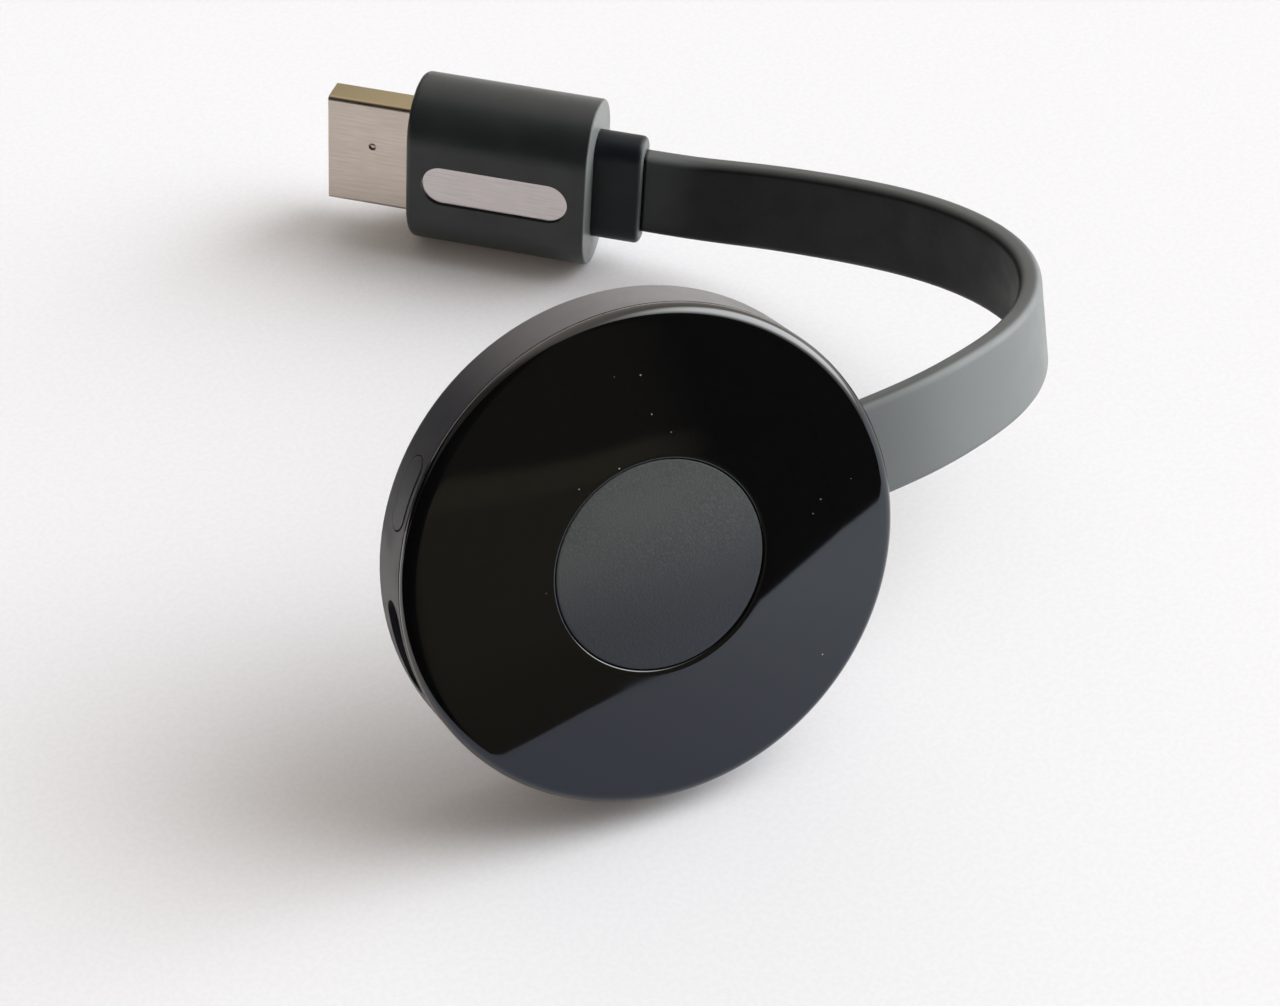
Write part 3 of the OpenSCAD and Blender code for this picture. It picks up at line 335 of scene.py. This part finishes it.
def make_medallion():
    """The bare matte disc in the middle of the face."""
    bottom = dome_z(MEDALLION_R) - MEDALLION_STEP - MEDALLION_T
    top = dome_z(MEDALLION_R) - MEDALLION_STEP
    inner_r = MEDALLION_R - SLOPE_SPAN
    inside = (inner_r, dome_z(inner_r) - MEDALLION_STEP)
    profile = [(0, bottom), (MEDALLION_R, bottom)]
    profile += round_corner((MEDALLION_R, bottom), (MEDALLION_R, top), inside,
                            MEDALLION_EDGE_R, MEDALLION_EDGE_STEPS)
    start = profile[-1][0]
    profile += [(start * (1 - i / DOME_STEPS), dome_z(start * (1 - i / DOME_STEPS)) - MEDALLION_STEP)
                for i in range(1, DOME_STEPS + 1)]
    piece = lathe("medallion_disc", profile)
    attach(piece, BODY)
    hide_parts("front_medallion")
    return piece


def make_dimple():
    """The pressed floor of the small round dimple in the plug's shell."""
    along, across = DIMPLE_AT
    at = PLUG @ Matrix.Translation((along, 0, across)) @ Matrix.Rotation(math.radians(-90), 4, "X")
    back, face = SHELL_FACE - SHELL_SHEET, SHELL_FACE - DIMPLE_DEEP
    profile = [(0, back), (DIMPLE_R, back), (DIMPLE_R, face), (0, face - DIMPLE_DEEP)]
    piece = lathe("shell_dimple", profile, to_world=at)
    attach(piece, BODY)
    return piece


front_cover = make_front_cover()
skirt = make_skirt()
medallion = make_medallion()
dimple = make_dimple()

BEVEL_SAMPLES = 6
UPWARDS = (0, 0, 1)
# Sockets of the mix node, for colours and for numbers
COLOUR_A, COLOUR_B, COLOUR_OUT = 6, 7, 2
NUMBER_A, NUMBER_B, NUMBER_OUT = 2, 3, 0


class Look:
    """A procedural material on one principled shader, its patterns in millimetres of the part's frame."""

    def __init__(self, name, colour, roughness, metallic=0.0, ior=1.5, **sockets):
        self.material = bpy.data.materials.new(name)
        self.material.use_nodes = True
        self.tree = self.material.node_tree
        self.shader = self.tree.nodes["Principled BSDF"]
        self.colour = colour
        self.roughness = roughness
        self.shader.inputs["Base Color"].default_value = (*colour, 1)
        self.shader.inputs["Roughness"].default_value = roughness
        self.shader.inputs["Metallic"].default_value = metallic
        self.shader.inputs["IOR"].default_value = ior
        for socket, value in sockets.items():
            self.shader.inputs[socket.replace("_", " ")].default_value = value
        where = self.node("ShaderNodeTexCoord").outputs["Object"]
        self.place = self.node("ShaderNodeVectorMath", operation="SCALE")
        self.link(where, self.place.inputs[0])
        self.place.inputs["Scale"].default_value = 1 / MM

    def node(self, kind, **settings):
        made = self.tree.nodes.new(kind)
        for key, value in settings.items():
            setattr(made, key, value)
        return made

    def link(self, output, socket):
        self.tree.links.new(output, socket)

    def noise(self, size, detail, stretch=None, turn=(0, 0, 0), distortion=0.0):
        """Noise in patches about size millimetres wide, drawn out along the axes of the given turn."""
        made = self.node("ShaderNodeTexNoise")
        made.inputs["Scale"].default_value = 1 / size
        made.inputs["Detail"].default_value = detail
        made.inputs["Distortion"].default_value = distortion
        source = self.place.outputs["Vector"]
        if stretch:
            mapping = self.node("ShaderNodeMapping", vector_type="TEXTURE")
            mapping.inputs["Rotation"].default_value = turn
            mapping.inputs["Scale"].default_value = stretch
            self.link(source, mapping.inputs["Vector"])
            source = mapping.outputs["Vector"]
        self.link(source, made.inputs["Vector"])
        return made.outputs["Fac"]

    def cells(self, size):
        """Distance to the nearest of scattered points, about size millimetres apart."""
        made = self.node("ShaderNodeTexVoronoi")
        made.inputs["Scale"].default_value = 1 / size
        self.link(self.place.outputs["Vector"], made.inputs["Vector"])
        return made.outputs["Distance"]

    def axis(self, letter):
        """The place along X, Y or Z, in millimetres."""
        split = self.node("ShaderNodeSeparateXYZ")
        self.link(self.place.outputs["Vector"], split.inputs[0])
        return split.outputs[letter]

    def ramp(self, source, low, high, to_low=0.0, to_high=1.0):
        """A smooth change from to_low to to_high while the source goes from low to high."""
        made = self.node("ShaderNodeMapRange", interpolation_type="SMOOTHSTEP")
        self.link(source, made.inputs["Value"])
        for key, value in (("From Min", low), ("From Max", high), ("To Min", to_low), ("To Max", to_high)):
            made.inputs[key].default_value = value
        return made.outputs["Result"]

    def patches(self, size, detail, low, high, **drawn):
        """A share in soft patches, 0 where the noise is under low and 1 where it is over high."""
        return self.ramp(self.noise(size, detail, **drawn), low, high)

    def facing(self, way, low, high):
        """A share that grows from 0 to 1 as the surface turns to a direction of the part's frame."""
        turned = self.node("ShaderNodeVectorMath", operation="DOT_PRODUCT")
        self.link(self.node("ShaderNodeNewGeometry").outputs["Normal"], turned.inputs[0])
        turned.inputs[1].default_value = way
        return self.ramp(turned.outputs["Value"], low, high)

    def times(self, a, b):
        made = self.node("ShaderNodeMath", operation="MULTIPLY")
        self.link(a, made.inputs[0])
        self.link(b, made.inputs[1])
        return made.outputs[0]

    def tint(self, share, colour):
        """Mixes a colour into what the surface has so far, by a share from 0 to 1."""
        mix = self.node("ShaderNodeMix", data_type="RGBA")
        socket = self.shader.inputs["Base Color"]
        if socket.links:
            self.link(socket.links[0].from_socket, mix.inputs[COLOUR_A])
        else:
            mix.inputs[COLOUR_A].default_value = (*self.colour, 1)
        mix.inputs[COLOUR_B].default_value = (*colour, 1)
        self.link(share, mix.inputs[0])
        self.link(mix.outputs[COLOUR_OUT], socket)

    def rough(self, share, value):
        """Mixes a roughness into what the surface has so far, by a share from 0 to 1."""
        mix = self.node("ShaderNodeMix", data_type="FLOAT")
        socket = self.shader.inputs["Roughness"]
        if socket.links:
            self.link(socket.links[0].from_socket, mix.inputs[NUMBER_A])
        else:
            mix.inputs[NUMBER_A].default_value = self.roughness
        mix.inputs[NUMBER_B].default_value = value
        self.link(share, mix.inputs[0])
        self.link(mix.outputs[NUMBER_OUT], socket)

    def bump(self, source, height, strength=1.0):
        """Relief of a height in millimetres, on top of what the surface has so far."""
        made = self.node("ShaderNodeBump")
        made.inputs["Distance"].default_value = height * MM
        made.inputs["Strength"].default_value = strength
        self.link(source, made.inputs["Height"])
        socket = self.shader.inputs["Normal"]
        if socket.links:
            self.link(socket.links[0].from_socket, made.inputs["Normal"])
        self.link(made.outputs["Normal"], socket)

    def soft_edges(self, radius):
        """Rounds the look of sharp edges by a radius in millimetres."""
        made = self.node("ShaderNodeBevel", samples=BEVEL_SAMPLES)
        made.inputs["Radius"].default_value = radius * MM
        self.link(made.outputs["Normal"], self.shader.inputs["Normal"])


def scaled(colour, share):
    """A colour made lighter or darker."""
    return tuple(min(1, share * c) for c in colour)


# The finishes, in millimetres. Patches are (size, detail, noise where they start, noise where they are full).
# A grain is (size, detail), with its height. A side is a direction, and the cosines of the angles to it at
# which its tint starts and is full.
MATTE_CLOUDS, MATTE_CLOUDS_LIGHT = (6, 4, 0.35, 0.7), 1.35
MATTE_SPARKS, MATTE_SPARKS_LIGHT = (0.21, 2, 0.5, 0.75), 1.25
MATTE_DULL, MATTE_DULL_SHARE = (3.5, 3, 0.4, 0.7), 1.18
MATTE_GRAIN, MATTE_GRAIN_H = (0.35, 3), 0.012
MATTE_SHEEN_ROUGHNESS = 0.5


def matte(name, colour, roughness, sheen, edge_r=0.1, ior=1.5, painted_light_side=None, pale=None):
    """Moulded plastic with a fine spark-eroded grain, and painted light on one side if that is given."""
    look = Look(name, colour, roughness, ior=ior, Sheen_Weight=sheen, Sheen_Roughness=MATTE_SHEEN_ROUGHNESS)
    look.soft_edges(edge_r)
    look.tint(look.patches(*MATTE_CLOUDS), scaled(colour, MATTE_CLOUDS_LIGHT))
    look.tint(look.patches(*MATTE_SPARKS), scaled(colour, MATTE_SPARKS_LIGHT))
    # Painted light: a paler tint where the surface faces the given side
    if painted_light_side:
        look.tint(look.facing(*painted_light_side), pale)
    look.rough(look.patches(*MATTE_DULL), min(1, roughness * MATTE_DULL_SHARE))
    look.bump(look.noise(*MATTE_GRAIN), MATTE_GRAIN_H)
    return look.material


BRUSHED_EDGE_R = 0.06
STREAKS, STREAKS_EDGE, STREAKS_LIGHT, STREAKS_H = (1, 3), (0.35, 0.7), 0.86, 0.0012
SMUDGES, SMUDGES_DISTORTION, SMUDGES_LIGHT = (2.8, 1.5, 0.4, 0.8), 0.3, 0.8
BRUSHED_DULL, BRUSHED_DULL_SHARE = (1.7, 1.5, 0.3, 0.8), 1.15
BRUSHED_TOP_PAINTED_SHADE = (UPWARDS, 0.6, 0.9)


def brushed(name, colour, roughness, along=(0, 0, 0), streak=(6, 0.12, 0.12), smudge=None, top=None):
    """Metal with fine streaks, drawn out along the X axis of the given turn, smudges, and painted shade on
    top if given.
    """
    look = Look(name, colour, roughness, metallic=1.0)
    look.soft_edges(BRUSHED_EDGE_R)
    streaks = look.noise(*STREAKS, stretch=streak, turn=along)
    look.tint(look.ramp(streaks, *STREAKS_EDGE), scaled(colour, STREAKS_LIGHT))
    smudges = look.patches(*SMUDGES, distortion=SMUDGES_DISTORTION)
    look.tint(smudges, smudge or scaled(colour, SMUDGES_LIGHT))
    # Painted shade: the upper side tinted darker and browner in the top colour
    if top:
        look.tint(look.facing(*BRUSHED_TOP_PAINTED_SHADE), top)
    look.rough(look.patches(*BRUSHED_DULL), roughness * BRUSHED_DULL_SHARE)
    look.bump(streaks, STREAKS_H)
    return look.material


GLOSS_BLACK, GLOSS_ROUGHNESS, GLOSS_IOR = (0.0032, 0.0032, 0.0034), 0.035, 1.62
GLOSS_EDGE_R = 0.05
HAZE, HAZE_DISTORTION, HAZE_ROUGHNESS = (9, 3, 0.52, 0.75), 0.4, 0.075
WIPES, WIPES_ROUGHNESS = (1, 2, 0.6, 0.8), 0.06
WIPES_STRETCH, WIPES_TURN = (14, 0.5, 0.5), (0, 0, math.radians(25))
DUST_APART, DUST_EDGE, DUST_AREAS = 2.6, (0.022, 0.03), (5, 1, 0.55, 0.6)
DUST_COLOUR, DUST_ROUGHNESS = (0.45, 0.44, 0.42), 0.8


def gloss_face():
    """High gloss black with wiping marks and a few specks of dust."""
    look = Look("gloss_black", GLOSS_BLACK, GLOSS_ROUGHNESS, ior=GLOSS_IOR)
    look.soft_edges(GLOSS_EDGE_R)
    look.rough(look.patches(*HAZE, distortion=HAZE_DISTORTION), HAZE_ROUGHNESS)
    look.rough(look.patches(*WIPES, stretch=WIPES_STRETCH, turn=WIPES_TURN), WIPES_ROUGHNESS)
    specks = look.times(look.ramp(look.cells(DUST_APART), *DUST_EDGE, 1, 0), look.patches(*DUST_AREAS))
    look.tint(specks, DUST_COLOUR)
    look.rough(specks, DUST_ROUGHNESS)
    return look.material


MEDALLION_GREY, MEDALLION_ROUGHNESS = (0.054, 0.06, 0.059), 0.52
MEDALLION_SPARKS, MEDALLION_SPARKS_COLOUR = (0.22, 2, 0.45, 0.7), (0.082, 0.089, 0.087)
MEDALLION_CLOUDS, MEDALLION_CLOUDS_COLOUR = (7, 3, 0.4, 0.7), (0.066, 0.073, 0.071)
MEDALLION_FOOT_PAINTED_SHADE, MEDALLION_FOOT_PAINTED_SHADE_SHARE, MEDALLION_FOOT_PAINTED_SHADE_COLOUR = (18, 36), 0.85, (0.019, 0.022, 0.03)
MEDALLION_DULL, MEDALLION_DULL_ROUGHNESS = (4, 3, 0.4, 0.7), 0.6
MEDALLION_GRAIN, MEDALLION_GRAIN_H = (0.2, 3), 0.02


def medallion_look():
    """Dark plastic with a coarse pale grain, and painted shade: bluer and darker towards its foot."""
    look = Look("medallion_grain", MEDALLION_GREY, MEDALLION_ROUGHNESS)
    look.tint(look.patches(*MEDALLION_SPARKS), MEDALLION_SPARKS_COLOUR)
    look.tint(look.patches(*MEDALLION_CLOUDS), MEDALLION_CLOUDS_COLOUR)
    # Painted shade: bluer and darker towards the medallion's foot
    up = look.ramp(look.axis("Z"), *MEDALLION_FOOT_PAINTED_SHADE)
    look.tint(look.ramp(up, 0, 1, MEDALLION_FOOT_PAINTED_SHADE_SHARE, 0), MEDALLION_FOOT_PAINTED_SHADE_COLOUR)
    look.rough(look.patches(*MEDALLION_DULL), MEDALLION_DULL_ROUGHNESS)
    look.bump(look.noise(*MEDALLION_GRAIN), MEDALLION_GRAIN_H)
    return look.material


CABLE_BLACK, CABLE_ROUGHNESS, CABLE_IOR = (0.005, 0.0065, 0.009), 0.42, 1.3
CABLE_CLOUDS, CABLE_CLOUDS_COLOUR = (5, 3, 0.4, 0.7), (0.008, 0.0095, 0.012)
CABLE_SPARKS, CABLE_SPARKS_COLOUR = (0.25, 2, 0.55, 0.8), (0.012, 0.014, 0.017)
CABLE_TOP_PAINTED_LIGHT, CABLE_TOP_PAINTED_LIGHT_COLOUR = (UPWARDS, 0.4, 0.9), (0.085, 0.092, 0.092)
CABLE_SIDE_PAINTED_LIGHT, CABLE_SIDE_PAINTED_LIGHT_COLOUR = ((0.4, -0.8, 0.45), 0.36, 0.75), (0.18, 0.192, 0.194)
CABLE_DULL, CABLE_DULL_ROUGHNESS = (4, 3, 0.35, 0.7), 0.52
CABLE_GRAIN, CABLE_GRAIN_H = (0.3, 3), 0.01


def cable_look():
    """Soft black jacket, with painted light: paler on its upper edge and on the side that the window's light
    brushes.
    """
    look = Look("cable_jacket", CABLE_BLACK, CABLE_ROUGHNESS, ior=CABLE_IOR)
    look.tint(look.patches(*CABLE_CLOUDS), CABLE_CLOUDS_COLOUR)
    look.tint(look.patches(*CABLE_SPARKS), CABLE_SPARKS_COLOUR)
    # Painted light: paler where the surface faces up and where it faces the window's side
    look.tint(look.facing(*CABLE_TOP_PAINTED_LIGHT), CABLE_TOP_PAINTED_LIGHT_COLOUR)
    look.tint(look.facing(*CABLE_SIDE_PAINTED_LIGHT), CABLE_SIDE_PAINTED_LIGHT_COLOUR)
    look.rough(look.patches(*CABLE_DULL), CABLE_DULL_ROUGHNESS)
    look.bump(look.noise(*CABLE_GRAIN), CABLE_GRAIN_H)
    return look.material


SIMPLE_EDGE_R = 0.04
# Patches without their size, which is larger for those that dull the surface and smaller for the relief
SIMPLE_CLOUDS = (3, 0.4, 0.65)
SIMPLE_DULL, SIMPLE_DULL_LARGER, SIMPLE_DULL_SHARE = (2, 0.4, 0.7), 2, 1.25
SIMPLE_RELIEF_DETAIL, SIMPLE_RELIEF_FINER = 2, 3


def simple(name, colour, roughness, metallic=0.0, light=1.2, size=0.8, relief=0.004, **sockets):
    """What sits inside or shows as a spot: two shades in small patches, and a fine relief."""
    look = Look(name, colour, roughness, metallic=metallic, **sockets)
    look.soft_edges(SIMPLE_EDGE_R)
    look.tint(look.patches(size, *SIMPLE_CLOUDS), scaled(colour, light))
    dull = look.patches(size * SIMPLE_DULL_LARGER, *SIMPLE_DULL)
    look.rough(dull, min(1, roughness * SIMPLE_DULL_SHARE))
    look.bump(look.noise(size / SIMPLE_RELIEF_FINER, SIMPLE_RELIEF_DETAIL), relief)
    return look.material


# The plug's streaks run along its length. Painted light: the sides that the window's light brushes are tinted
# pale, on the disc's upper rim and at the rear of the plug.
PLUG_TURN = (PLUG_ROLL, 0, math.pi - PLUG_YAW)
PLUG_REAR_PAINTED_LIGHT = ((0.79, -0.61, 0), 0.6, 0.95)
RIM_TOP_PAINTED_LIGHT = ((0.3, 0.35, 0.89), 0.5, 0.95)
LOOKS = {
    "cover_matte": matte("cover_matte", (0.019, 0.019, 0.028), 0.42, sheen=0.04,
                         painted_light_side=RIM_TOP_PAINTED_LIGHT, pale=(0.11, 0.107, 0.112)),
    "cover_gloss": gloss_face(),
    "medallion_matte": medallion_look(),
    "gasket": simple("gasket_rubber", (0.006, 0.006, 0.006), 0.7),
    "magnet_plating": simple("magnet_plating", (0.6, 0.6, 0.61), 0.25, metallic=1.0),
    "steel": brushed("plain_steel", (0.45, 0.46, 0.47), 0.35),
    "spreader": brushed("rolled_aluminium", (0.72, 0.73, 0.75), 0.35),
    "thermal_pad": simple("thermal_pad", (0.12, 0.26, 0.23), 0.8, size=1.2, relief=0.02),
    "tinplate": simple("tinplate", (0.62, 0.63, 0.64), 0.3, metallic=1.0, light=0.85, size=1.5),
    "chip_resin": simple("chip_resin", (0.012, 0.012, 0.014), 0.6, size=0.3),
    "ferrite": simple("ferrite", (0.06, 0.06, 0.065), 0.7, size=0.3),
    "capacitor": simple("capacitor_ceramic", (0.4, 0.25, 0.12), 0.4, size=0.3),
    "circuit_board": simple("solder_mask", (0.01, 0.09, 0.035), 0.35, size=1.0),
    "antenna_brass": simple("antenna_brass", (0.6, 0.38, 0.12), 0.3, metallic=1.0, light=0.85),
    "port_steel": simple("port_steel", (0.5, 0.5, 0.51), 0.3, metallic=1.0, light=0.85),
    "black_plastic": simple("black_plastic", (0.01, 0.01, 0.011), 0.5),
    "gold_contact": simple("gold_contact", (0.75, 0.5, 0.16), 0.22, metallic=1.0, light=0.85),
    "led": simple("led_resin", (0.8, 0.78, 0.68), 0.3),
    "clear_plastic": simple("clear_plastic", (0.75, 0.8, 0.83), 0.15, light=1.05, Transmission_Weight=0.85),
    "button_matte": matte("button_matte", (0.016, 0.016, 0.025), 0.42, sheen=0.04, edge_r=0.12),
    "switch_plastic": simple("switch_plastic", (0.02, 0.02, 0.021), 0.5),
    "plunger_plastic": simple("plunger_plastic", (0.68, 0.66, 0.6), 0.45, light=0.9),
    "dome_steel": simple("dome_steel", (0.55, 0.5, 0.38), 0.3, metallic=1.0, light=0.85),
    "grommet_rubber": matte("grommet_rubber", (0.006, 0.008, 0.011), 0.4, sheen=0.02, ior=1.3,
                            painted_light_side=PLUG_REAR_PAINTED_LIGHT, pale=(0.12, 0.13, 0.13)),
    "cable_jacket": cable_look(),
    "copper": simple("bare_copper", (0.6, 0.25, 0.1), 0.3, metallic=1.0, light=0.85, size=0.4),
    "plug_matte": matte("plug_matte", (0.014, 0.018, 0.019), 0.38, sheen=0.08, ior=1.45,
                        painted_light_side=PLUG_REAR_PAINTED_LIGHT, pale=(0.14, 0.15, 0.15)),
    "inlay_steel": brushed("inlay_steel", (0.5, 0.465, 0.475), 0.24, PLUG_TURN, streak=(5, 0.2, 0.2),
                           smudge=(0.47, 0.432, 0.436)),
    # The shell's upper side gets painted shade through top
    "plug_steel": brushed("plug_steel", (0.55, 0.485, 0.44), 0.28, PLUG_TURN, streak=(4, 0.25, 0.25),
                          smudge=(0.51, 0.445, 0.4), top=(0.4, 0.34, 0.215)),
}


def wear(piece, look):
    """Gives a piece its one material."""
    piece.data.materials.clear()
    piece.data.materials.append(look)


for entry in frame["record"]["subparts"]:
    wear(frame["nodes"][entry["node"]], LOOKS[entry["material_slot"]])
for piece in (front_cover, *skirt):
    wear(piece, LOOKS["cover_gloss"])
wear(medallion, LOOKS["medallion_matte"])
wear(flat_cable, LOOKS["cable_jacket"])
wear(dimple, LOOKS["plug_steel"])


def stage_plane(name, points, faces):
    """A piece of the stage, from points in metres."""
    mesh = bpy.data.meshes.new(name)
    mesh.from_pydata(points, [], faces)
    plane = bpy.data.objects.new(name, mesh)
    bpy.context.scene.collection.objects.link(plane)
    return plane


# Half the paper's width, in metres
FLOOR_HALF = 3
PAPER, PAPER_FIBRES, PAPER_ROUGHNESS = (0.715, 0.722, 0.752), (0.735, 0.742, 0.772), 0.9
PAPER_PATCHES = (0.6, 4, 0.4, 0.6)
PAPER_GRAIN, PAPER_GRAIN_H, PAPER_GRAIN_STRENGTH = (0.5, 4), 0.02, 0.4
# A faint warm glow that only the camera sees
PAPER_GLOW, PAPER_GLOW_STRENGTH = (1, 0.8, 0.65, 1), 0.035
# The paper as reflections see it: everywhere, then in front of the disc, then on the right there. The edges
# are in millimetres, along Y and along X.
MIRRORED_PAPER = (0.86, 0.85, 0.84)
MIRRORED_FRONT, FRONT_EDGE = (0.46, 0.52, 0.67), (-26, -6)
MIRRORED_RIGHT, RIGHT_EDGE = (0.76, 0.85, 1), (-20, 95)


def make_floor():
    """White paper, which reflections see darker and bluer in front of the disc."""
    corners = [(x * FLOOR_HALF, y * FLOOR_HALF, 0) for x, y in ((-1, -1), (1, -1), (1, 1), (-1, 1))]
    floor = stage_plane("paper", corners, [(0, 1, 2, 3)])
    look = Look("white_paper", PAPER, PAPER_ROUGHNESS)
    look.tint(look.patches(*PAPER_PATCHES), PAPER_FIBRES)
    look.bump(look.noise(*PAPER_GRAIN), PAPER_GRAIN_H, PAPER_GRAIN_STRENGTH)
    glow = look.node("ShaderNodeEmission")
    glow.inputs["Color"].default_value = PAPER_GLOW
    glow.inputs["Strength"].default_value = PAPER_GLOW_STRENGTH
    light = look.node("ShaderNodeLightPath")
    mirrored = light.outputs["Is Glossy Ray"]
    look.tint(mirrored, MIRRORED_PAPER)
    front = look.times(mirrored, look.ramp(look.axis("Y"), *FRONT_EDGE, 1, 0))
    look.tint(front, MIRRORED_FRONT)
    look.tint(look.times(front, look.ramp(look.axis("X"), *RIGHT_EDGE)), MIRRORED_RIGHT)
    add = look.node("ShaderNodeAddShader")
    mix = look.node("ShaderNodeMixShader")
    output = look.tree.nodes["Material Output"]
    look.link(look.shader.outputs[0], add.inputs[0])
    look.link(glow.outputs[0], add.inputs[1])
    look.link(light.outputs["Is Camera Ray"], mix.inputs[0])
    look.link(look.shader.outputs[0], mix.inputs[1])
    look.link(add.outputs[0], mix.inputs[2])
    look.link(mix.outputs[0], output.inputs["Surface"])
    wear(floor, look.material)


# Two dark walls that only reflections see, in millimetres. The card is the dark front of the room, and its
# foot is the edge of the pale floor that the gloss face mirrors. The cloth is a low wall behind on the left,
# which the gloss edge mirrors.
CARD_FOOT = [
    (-120, 45), (-14.3, -68.3), (3.8, -86), (18, -97), (32, -99), (50.9, -117.7), (67.7, -141.9),
    (96.9, -172.2), (133.9, -207.2), (183.7, -242.6), (420, -420),
]
CARD_H = 1600
CLOTH_FOOT = [(-140, 60), (-75, 90), (-30, 160), (80, 260)]
CLOTH_H = 65
WALL_BLACK, WALL_ROUGHNESS = (0.004, 0.004, 0.004), 1.0
WALL_UNSEEN_BY = ("camera", "diffuse", "transmission", "volume_scatter", "shadow")
# The card's warm glow: stronger up to a height, with a line of light there, fainter at its foot, and gone on
# the left and on the right
GLOW_COLOUR = (1, 0.9, 0.6, 1)
GLOW_TOP, GLOW_BAND, GLOW_SOFT = 50, 5, 1.5
GLOW_LOW, GLOW_HIGH, GLOW_LINE = 0.14, 0.05, 0.05
GLOW_LEFT, GLOW_RIGHT = (-30, -20), (25, 65)
GLOW_FOOT, GLOW_FOOT_SHARE = (0, 28), 0.6


def make_wall(name, foot, top):
    """An upright dark wall on a line of floor points, which only reflections see."""
    points = [(x * MM, y * MM, z * MM) for z in (0, top) for x, y in foot]
    n = len(foot)
    wall = stage_plane(name, points, [(i, i + 1, n + i + 1, n + i) for i in range(n - 1)])
    for ray in WALL_UNSEEN_BY:
        setattr(wall, f"visible_{ray}", False)
    look = Look(name, WALL_BLACK, WALL_ROUGHNESS)
    look.shader.inputs["Specular IOR Level"].default_value = 0
    wear(wall, look.material)
    return look


def make_walls():
    """The plain cloth, and the card with its glow."""
    make_wall("dark_cloth", CLOTH_FOOT, CLOTH_H)
    look = make_wall("dark_card", CARD_FOOT, CARD_H)
    height, aside = look.axis("Z"), look.axis("X")
    top_edge = (GLOW_TOP - GLOW_SOFT, GLOW_TOP + GLOW_SOFT)
    low = look.ramp(height, *top_edge, GLOW_LOW, GLOW_HIGH)
    band_foot = GLOW_TOP - GLOW_BAND
    line = look.times(look.ramp(height, band_foot - GLOW_SOFT, band_foot, 0, GLOW_LINE),
                      look.ramp(height, *top_edge, 1, 0))
    total = look.node("ShaderNodeMath", operation="ADD")
    look.link(low, total.inputs[0])
    look.link(line, total.inputs[1])
    fade = look.times(look.ramp(aside, *GLOW_RIGHT, 1, 0), look.ramp(aside, *GLOW_LEFT))
    foot = look.times(look.ramp(height, *GLOW_FOOT, GLOW_FOOT_SHARE, 1), fade)
    look.link(look.times(total.outputs[0], foot), look.shader.inputs["Emission Strength"])
    look.shader.inputs["Emission Color"].default_value = GLOW_COLOUR


# The room's light: dim at the front and on the left, pale behind, and a tall soft window on the right
ROOM_WAY, ROOM_EDGE = (0.85, 0.45, 0.34), (0.1, 0.5)
ROOM_DIM, ROOM_PALE = 0.22, 1.0
ROOM_COLOUR = (1, 0.91, 0.82, 1)
WINDOW_WAY, WINDOW_SHAPE, WINDOW_EDGE = (0.85, -0.08, 0.45), (1, 2, 1.5), (0.4, 1.1)
WINDOW_LIGHT = 7
WINDOW_COLOUR = (0.93, 0.97, 1, 1)
BACKDROP = (0.93, 0.94, 0.95, 1)


def make_world():
    """The room's light for the part, and a plain pale backdrop for the camera."""
    world = bpy.data.worlds.new("room")
    bpy.context.scene.world = world
    world.use_nodes = True
    tree = world.node_tree

    def put(kind, *values, **settings):
        """A node with its first sockets set or linked."""
        made = tree.nodes.new(kind)
        for key, value in settings.items():
            setattr(made, key, value)
        for socket, value in zip(made.inputs, values):
            if isinstance(value, bpy.types.NodeSocket):
                tree.links.new(value, socket)
            else:
                socket.default_value = value
        return made

    def fade(source, edge, start, end):
        made = put("ShaderNodeMapRange", source, *edge, start, end, interpolation_type="SMOOTHSTEP")
        return made.outputs["Result"]

    way = put("ShaderNodeTexCoord").outputs["Generated"]
    side = put("ShaderNodeVectorMath", way, ROOM_WAY, operation="DOT_PRODUCT").outputs["Value"]
    off = put("ShaderNodeVectorMath", way, WINDOW_WAY, operation="SUBTRACT").outputs["Vector"]
    off = put("ShaderNodeVectorMath", off, WINDOW_SHAPE, operation="MULTIPLY").outputs["Vector"]
    away = put("ShaderNodeVectorMath", off, operation="LENGTH").outputs["Value"]
    room = put("ShaderNodeBackground", ROOM_COLOUR, fade(side, ROOM_EDGE, ROOM_DIM, ROOM_PALE))
    window = put("ShaderNodeBackground", WINDOW_COLOUR, fade(away, WINDOW_EDGE, WINDOW_LIGHT, 0.0))
    both = put("ShaderNodeAddShader", room.outputs[0], window.outputs[0])
    pale = put("ShaderNodeBackground", BACKDROP, 1.0)
    seen = put("ShaderNodeLightPath").outputs["Is Camera Ray"]
    mix = put("ShaderNodeMixShader", seen, both.outputs[0], pale.outputs[0])
    tree.links.new(mix.outputs[0], tree.nodes["World Output"].inputs["Surface"])


make_floor()
make_walls()
make_world()
bpy.context.scene.view_settings.view_transform = "Standard"
